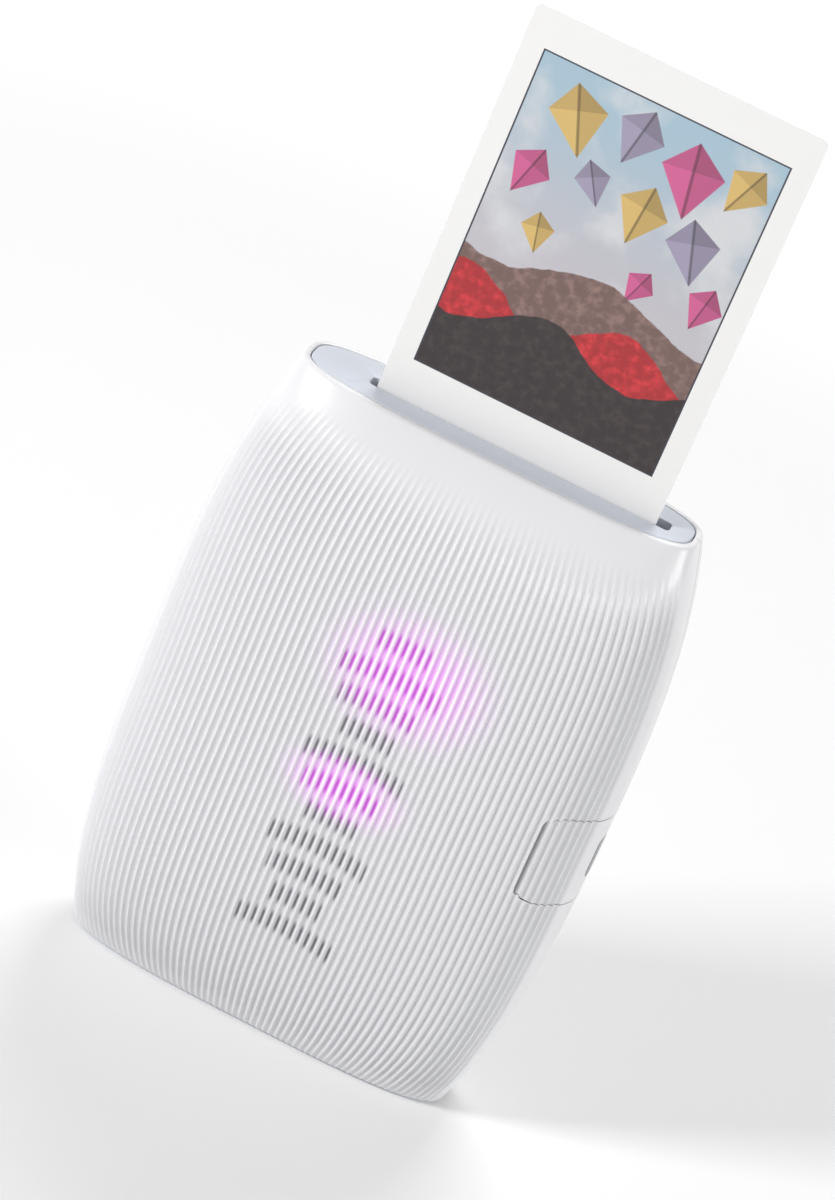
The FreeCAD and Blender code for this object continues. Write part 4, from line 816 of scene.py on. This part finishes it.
def buildPrintMaterial(look):
    material, tree, shader = newMaterial("printFilm")
    calc = partial(sumNode, tree)
    places, axes = placesOf(tree)
    left, right = printSheet["pictureLeft"], printSheet["pictureRight"]
    low, high = printSheet["pictureBottom"], printSheet["pictureTop"]
    # from here in mm from the picture's middle
    x = calc("MULTIPLY", calc("SUBTRACT", axes[0], (left + right) / 2), 1000.0)
    z = calc("MULTIPLY", calc("SUBTRACT", axes[2], (low + high) / 2), 1000.0)
    halfWide, halfTall = (right - left) / 2 * 1000, (high - low) / 2 * 1000
    inward = calc("MINIMUM", calc("SUBTRACT", halfWide, calc("ABSOLUTE", x)),
                  calc("SUBTRACT", halfTall, calc("ABSOLUTE", z)))
    front = calc("LESS_THAN", axes[1], printSheet["front"] + 0.1 * mm)
    inside = calc("MULTIPLY", smoothRange(tree, inward, -0.05, 0.05), front)
    colour = mixColours(tree, smoothRange(tree, z, -6.0, 30.0), look["skyLow"], look["skyTop"])
    clouds = smoothRange(tree, noiseOf(tree, places, 70.0, 4.0), 0.45, 0.7)
    colour = mixColours(tree, clouds, colour, look["haze"])
    kite = buildKiteGroup(kiteLook)
    for atX, atZ, wide, tall, turn, tone in look["kites"]:
        place = addNode(tree, "ShaderNodeGroup", node_tree=kite)
        setSockets(place, {"Half Width": wide, "Half Height": tall, "Turn": turn, "At X": atX, "At Z": atZ,
                           "Colour": (*look[tone], 1)})
        for value, label in ((x, "X"), (z, "Z"), (colour, "Under")):
            tree.links.new(value, place.inputs[label])
        colour = place.outputs["Colour"]
    for base, swing, wave, rough, tone in look["hills"]:
        ridge = calc("MULTIPLY_ADD", calc("SINE", calc("MULTIPLY_ADD", x, wave, base)), swing, base)
        jag = calc("SUBTRACT", noiseOf(tree, places, 160.0, 3.0), 0.5)
        ridge = calc("MULTIPLY_ADD", jag, rough, ridge)
        below = smoothRange(tree, calc("SUBTRACT", ridge, z), -0.15, 0.15)
        grain = smoothRange(tree, noiseOf(tree, places, 700.0, 4.0), 0.4, 0.75)
        pale = tuple(min(1.0, value * 1.7 + 0.01) for value in look[tone])
        colour = mixColours(tree, below, colour, mixColours(tree, grain, look[tone], pale))
    edge = smoothRange(tree, inward, look["edge"] * 1000, look["edge"] * 700)
    colour = mixColours(tree, edge, colour, look["edgeColour"])
    colour = mixColours(tree, inside, look["frame"], colour)
    placeGrain(tree, shader, colour, 0.3, clouding=0.015, glossChange=0.03, height=0.001)
    setSockets(shader, {"Coat Weight": 0.2, "Coat Roughness": 0.08})
    return material


# Finish of the mouldings
shellLook = {
    "colour": (0.79, 0.79, 0.805), "roughness": 0.3, "valleyShade": (0.88, 0.88, 0.90), "coat": 0.25,
    "glowCrest": (0.93, 0.78, 0.94), "glowValley": (0.70, 0.30, 0.76), "glowStrength": 0.26,
    "front": -6 * mm, "lights": (                       # x, z, half width, half height
        (3.6 * mm, 84.5 * mm, 20 * mm, 16 * mm), (0.5 * mm, 59 * mm, 15 * mm, 8.5 * mm)),
    "dashGrey": (0.16, 0.155, 0.175), "dashPurple": (0.48, 0.07, 0.55), "dashMiddle": 0.5 * mm,
    "dashStep": 6.2 * mm, "dashShare": 0.31, "firstRow": 3.5, "lastRow": 14.5, "dashWide": 7.2 * mm,
    "dashSwing": 2.6 * mm, "dashTurn": 2.1, "dashBow": 14.0, "dashSoft": (1.45, 0.5),
    "dashEnd": (0.5 * mm, -0.1 * mm),
}


def buildShellMaterial(look):
    material, tree, shader = newMaterial("shellWhite")
    calc = partial(sumNode, tree)
    x, y, z = placesOf(tree)[1]
    valley = addNode(tree, "ShaderNodeAttribute", attribute_name="valley").outputs["Fac"]
    front = calc("LESS_THAN", y, look["front"])
    halos = []
    for middleX, middleZ, wide, tall in look["lights"]:
        across = calc("DIVIDE", calc("SUBTRACT", x, middleX), wide)
        rise = calc("DIVIDE", calc("SUBTRACT", z, middleZ), tall)
        squares = calc("ADD", calc("MULTIPLY", across, across), calc("MULTIPLY", rise, rise))
        halos.append(smoothRange(tree, calc("SQRT", squares), 1.0, 0.15))
    glow = calc("MULTIPLY", calc("MAXIMUM", *halos), front)
    # painted shade: the colour darkens into each flute's valley by its depth, on top of the real grooves
    shade = tuple(a * b for a, b in zip(look["colour"], look["valleyShade"]))
    colour = mixColours(tree, valley, look["colour"], shade)
    # painted glow and shade: in the halos the tone is pale on the crests and deep magenta in the valleys, the
    # light's own tint darkened where the flutes shade
    glowTone = mixColours(tree, smoothRange(tree, valley, 0.1, 0.9), look["glowCrest"], look["glowValley"])
    colour = mixColours(tree, glow, colour, glowTone)
    # rows of short printed dashes, one in each flute, whose rows widen and narrow
    aside = calc("SUBTRACT", x, look["dashMiddle"])
    row = calc("MULTIPLY_ADD", calc("MULTIPLY", aside, aside), look["dashBow"], z)
    row = calc("DIVIDE", row, look["dashStep"])
    number = calc("FLOOR", row)
    within = calc("ABSOLUTE", calc("SUBTRACT", calc("SUBTRACT", row, number), 0.5))
    swing = calc("SINE", calc("MULTIPLY", number, look["dashTurn"]))
    reach = calc("MULTIPLY_ADD", swing, look["dashSwing"], look["dashWide"])
    outer, inner = (look["dashShare"] * share for share in look["dashSoft"])
    dash = calc("MULTIPLY", smoothRange(tree, within, outer, inner), front)
    past = calc("SUBTRACT", calc("ABSOLUTE", aside), reach)
    for share in (smoothRange(tree, past, *look["dashEnd"]), calc("GREATER_THAN", number, look["firstRow"]),
                  calc("LESS_THAN", number, look["lastRow"]), smoothRange(tree, valley, 0.66, 1.0)):
        dash = calc("MULTIPLY", dash, share)
    dashTone = mixColours(tree, smoothRange(tree, glow, 0.1, 0.55), look["dashGrey"], look["dashPurple"])
    colour = mixColours(tree, dash, colour, dashTone)
    placeGrain(tree, shader, colour, look["roughness"])
    # painted glow: the shell gives off the light board's light as emission in the halos, as if it shone
    # through the wall
    tree.links.new(shaded(tree, colour, glow), shader.inputs["Emission Color"])
    setSockets(shader, {"Emission Strength": look["glowStrength"], "Coat Weight": look["coat"],
                        "Coat Roughness": 0.2})
    return material


# Drawn metal: long fine lines along one axis and a slow change of tone
def buildMetalGroup():
    group, put, out = newGroup("drawnMetal", {
        "Colour": (0.6, 0.6, 0.6, 1), "Roughness": 0.3, "Lines": (60.0, 3000.0, 3000.0), "Depth": 0.15},
        ("Colour", "Roughness", "Height"))
    calc = partial(sumNode, group)
    places = placesOf(group)[0]
    stretch = addNode(group, "ShaderNodeVectorMath", operation="MULTIPLY")
    group.links.new(places, stretch.inputs[0])
    group.links.new(put["Lines"], stretch.inputs[1])
    lines = noiseOf(group, stretch.outputs[0], 1.0, 3.0)
    stains = calc("SUBTRACT", noiseOf(group, places, 90.0, 2.0), 0.5)
    swing = calc("SUBTRACT", lines, 0.5)
    tone = shaded(group, put["Colour"], calc("MULTIPLY_ADD", swing, put["Depth"], 1.0))
    dull = calc("MULTIPLY_ADD", stains, 0.18, put["Roughness"])
    group.links.new(tone, out["Colour"])
    group.links.new(calc("MULTIPLY_ADD", swing, 0.2, dull), out["Roughness"])
    group.links.new(lines, out["Height"])
    return group


metalGroup = buildMetalGroup()


def drawnMetal(name, colour, roughness, lines=(60.0, 3000.0, 3000.0), depth=0.15):
    material, tree, shader = newMaterial(name)
    metal = addNode(tree, "ShaderNodeGroup", node_tree=metalGroup)
    setSockets(metal, {"Colour": (*colour, 1), "Roughness": roughness, "Lines": lines, "Depth": depth})
    wearGroup(tree, shader, metal, 0.25, 0.004)
    setSockets(shader, {"Metallic": 1.0})
    return material


# Circuit board: solder mask over straight copper runs and round pads
boardLook = {
    "mask": (0.012, 0.11, 0.055), "copper": (0.03, 0.24, 0.12), "pad": (0.62, 0.60, 0.52), "pads": 420.0,
    "runs": {"Scale": 900.0, "Mortar Size": 0.16, "Brick Width": 2.6, "Row Height": 0.9},
}


def buildBoardMaterial(look):
    material, tree, shader = newMaterial("circuitBoard")
    places = placesOf(tree)[0]
    turned = addNode(tree, "ShaderNodeMapping", {"Rotation": (math.pi / 2, 0, 0)})
    runs = addNode(tree, "ShaderNodeTexBrick", look["runs"])
    cells = addNode(tree, "ShaderNodeTexVoronoi", {"Scale": look["pads"], "Randomness": 0.55})
    for start, node in ((places, turned), (turned.outputs[0], runs), (places, cells)):
        tree.links.new(start, node.inputs["Vector"])
    colour = mixColours(tree, runs.outputs["Fac"], look["mask"], look["copper"])
    dots = smoothRange(tree, cells.outputs["Distance"], 0.17, 0.13)
    placeGrain(tree, shader, mixColours(tree, dots, colour, look["pad"]), 0.34, clouding=0.1, height=0.006)
    tree.links.new(dots, shader.inputs["Metallic"])
    return material


# Film stack: the edges of single sheets show as fine dark and pale lines
def buildSheetMaterial(pitch=0.27 * mm):
    material, tree, shader = newMaterial("filmSheets")
    y = placesOf(tree)[1][1]
    wave = sumNode(tree, "SINE", sumNode(tree, "MULTIPLY", y, 2 * math.pi / pitch))
    lines = smoothRange(tree, wave, -0.2, 0.6)
    colour = mixColours(tree, lines, (0.02, 0.02, 0.022), (0.16, 0.15, 0.15))
    placeGrain(tree, shader, colour, 0.22, clouding=0.06, height=0.001)
    return material


def glowingLamp(name, colour, strength):
    material = mouldedPlastic(name, colour, 0.25, clouding=0.08)
    setSockets(material.node_tree.nodes["Principled BSDF"],
               {"Emission Color": (*colour, 1), "Emission Strength": strength})
    return material


def clearLens(name):
    material = mouldedPlastic(name, (0.88, 0.93, 0.96), 0.06, clouding=0.02, glossChange=0.03, height=0.001)
    setSockets(material.node_tree.nodes["Principled BSDF"], {"Transmission Weight": 0.85, "IOR": 1.49})
    return material


shellWhite = buildShellMaterial(shellLook)
capGrey = mouldedPlastic("capBlueGrey", (0.60, 0.63, 0.70), 0.35, clouding=0.02)
keyWhite = mouldedPlastic("keyWhite", (0.74, 0.74, 0.78), 0.3)
printFilm = buildPrintMaterial(pictureLook)
finishes = (                                           # finish and the CAD pieces that wear it
    (capGrey, "bottom_cap"),
    (mouldedPlastic("chassisGrey", (0.045, 0.048, 0.053), 0.42, clouding=0.12, height=0.012), "chassis",
     "pressure_pads"),
    (mouldedPlastic("packBlack", (0.012, 0.012, 0.014), 0.38, clouding=0.15, height=0.01),
     "film_pack_shell"),
    (mouldedPlastic("chipBlack", (0.010, 0.010, 0.012), 0.3, clouding=0.2), "board_chips", "usb_tongue",
     "power_switch", "exposure_head_housing"),
    (mouldedPlastic("rollerRubber", (0.02, 0.02, 0.022), 0.62, clouding=0.2, scale=2500.0, height=0.03),
     "drive_roller_rubber", "pinch_roller_rubber"),
    (mouldedPlastic("sealFelt", (0.014, 0.014, 0.015), 0.85, clouding=0.3, scale=9000.0, height=0.06),
     "slot_seals"),
    (mouldedPlastic("gearNylon", (0.72, 0.71, 0.64), 0.36, clouding=0.06, height=0.006),
     "drive_roller_gear", "pinch_roller_gear", "idler_gear", "reduction_gear"),
    (mouldedPlastic("batteryWrap", (0.42, 0.44, 0.47), 0.24, clouding=0.25, scale=1200.0, height=0.04),
     "battery"),
    (mouldedPlastic("guideMilky", (0.86, 0.82, 0.86), 0.3, clouding=0.08), "light_guide"),
    (buildSheetMaterial(), "film_stack"),
    (buildBoardMaterial(boardLook), "main_board", "light_board", "port_board", "switch_board"),
    (glowingLamp("lampWhite", (0.95, 0.80, 0.93), 0.4), "status_lights", "exposure_light_strip"),
    (clearLens("lensClear"), "exposure_lens_bar"),
    (drawnMetal("shaftSteel", (0.56, 0.57, 0.59), 0.25), "hinge_pin", "drive_roller_shaft",
     "pinch_roller_shaft", "motor_shaft"),
    (drawnMetal("screwSteel", (0.46, 0.46, 0.48), 0.35, (2500.0, 400.0, 2500.0)), "case_screws",
     "board_screws"),
    (drawnMetal("sheetSteel", (0.60, 0.61, 0.63), 0.38, (2500.0, 2500.0, 80.0), 0.2), "gear_plate",
     "pack_pressure_plate", "film_pick"),
    (drawnMetal("motorSteel", (0.50, 0.51, 0.53), 0.3, (3000.0, 500.0, 500.0), 0.22), "motor"),
    (drawnMetal("portSteel", (0.66, 0.67, 0.69), 0.22, (2500.0, 2500.0, 150.0)), "usb_socket"),
    (drawnMetal("turnedBrass", (0.70, 0.50, 0.22), 0.28, (3000.0, 600.0, 600.0)), "roller_bushes",
     "motor_pinion"),
)
for material, *names in finishes:
    for name in names:
        nodes[name].data.materials.clear()
        nodes[name].data.materials.append(material)
print("finishes set on", sum(len(names) for material, *names in finishes), "CAD pieces")

finishPiece(frontShell, shellWhite, "housing", "shell", "front_cover")
finishPiece(rearShell, shellWhite, "housing", "shell", "rear_cover")
finishPiece(filmDoor, shellWhite, "door", "shell", "film_door")
finishPiece(portPanel, shellWhite, "housing", "side_panel", "port_panel")
finishPiece(buttonPanel, shellWhite, "housing", "side_panel", "button_panel")
finishPiece(topCap, capGrey, "housing", "cap", "top_cap", angle=35)
finishPiece(photoPrint, printFilm, "print", "print_film", "photo_print", angle=35)
finishPiece(powerKey, keyWhite, "button", "side_panel", "power_button", angle=40)
finishPiece(lockKnob, capGrey, "lock", "cap", "door_lock", angle=40)
bpy.data.objects.remove(room)

# Stage and light
studio = {
    "floor": 3.0, "floorColour": (0.85, 0.85, 0.85), "floorLift": 0.1, "floorFades": (0.3, 0.9),
    "world": 0.29, "lampAim": (0, 0, 0.08),
    "lamps": {                                          # power, size, place
        "key": (13.7, 0.3, (-1.0, -0.8, 0.7)), "fill": (1.2, 0.5, (1.1, -0.5, 0.3)),
        "top": (5.0, 0.4, (0.0, 0.5, 1.0)), "side": (4.6, 0.45, (1.2, -0.2, 0.3)),
    },
}


# The floor and the room show white to the eye and in gloss, at a plain level of light
def seenDirectly(tree):
    path = addNode(tree, "ShaderNodeLightPath").outputs
    return sumNode(tree, "MAXIMUM", sumNode(tree, "MAXIMUM", path["Is Camera Ray"], path["Is Glossy Ray"]),
                   path["Is Transmission Ray"])


def addStage(values):
    deselectAll()
    bpy.ops.mesh.primitive_plane_add(size=values["floor"], location=(0, 0, 0))
    floor = bpy.context.object
    floor.name = "floor"
    material, tree, shader = newMaterial("floorPale")
    setSockets(shader, {"Base Color": (*values["floorColour"], 1), "Roughness": 0.9,
                        "Specular IOR Level": 0.1, "Emission Color": (1, 1, 1, 1)})
    away = addNode(tree, "ShaderNodeVectorMath", operation="LENGTH")
    tree.links.new(placesOf(tree)[0], away.inputs[0])
    far = smoothRange(tree, away.outputs["Value"], *values["floorFades"])
    lift = sumNode(tree, "MULTIPLY_ADD", far, 1 - values["floorLift"], values["floorLift"])
    tree.links.new(sumNode(tree, "MULTIPLY", seenDirectly(tree), lift), shader.inputs["Emission Strength"])
    floor.data.materials.append(material)
    for name, (power, size, place) in values["lamps"].items():
        bpy.ops.object.light_add(type="AREA", location=place)
        lamp = bpy.context.object
        lamp.name = name + "Lamp"
        lamp.data.energy, lamp.data.size = power, size
        lamp.rotation_mode = "QUATERNION"
        lamp.rotation_quaternion = (Vector(place) - Vector(values["lampAim"])).to_track_quat("Z", "Y")
    world = bpy.data.worlds.new("softRoom")
    bpy.context.scene.world = world
    world.use_nodes = True
    tree = world.node_tree
    background = tree.nodes["Background"]
    strength = sumNode(tree, "MULTIPLY_ADD", seenDirectly(tree), 1 - values["world"], values["world"])
    tree.links.new(strength, background.inputs["Strength"])
    setSockets(background, {"Color": (1, 1, 1, 1)})


addStage(studio)
print("stage and lights set")
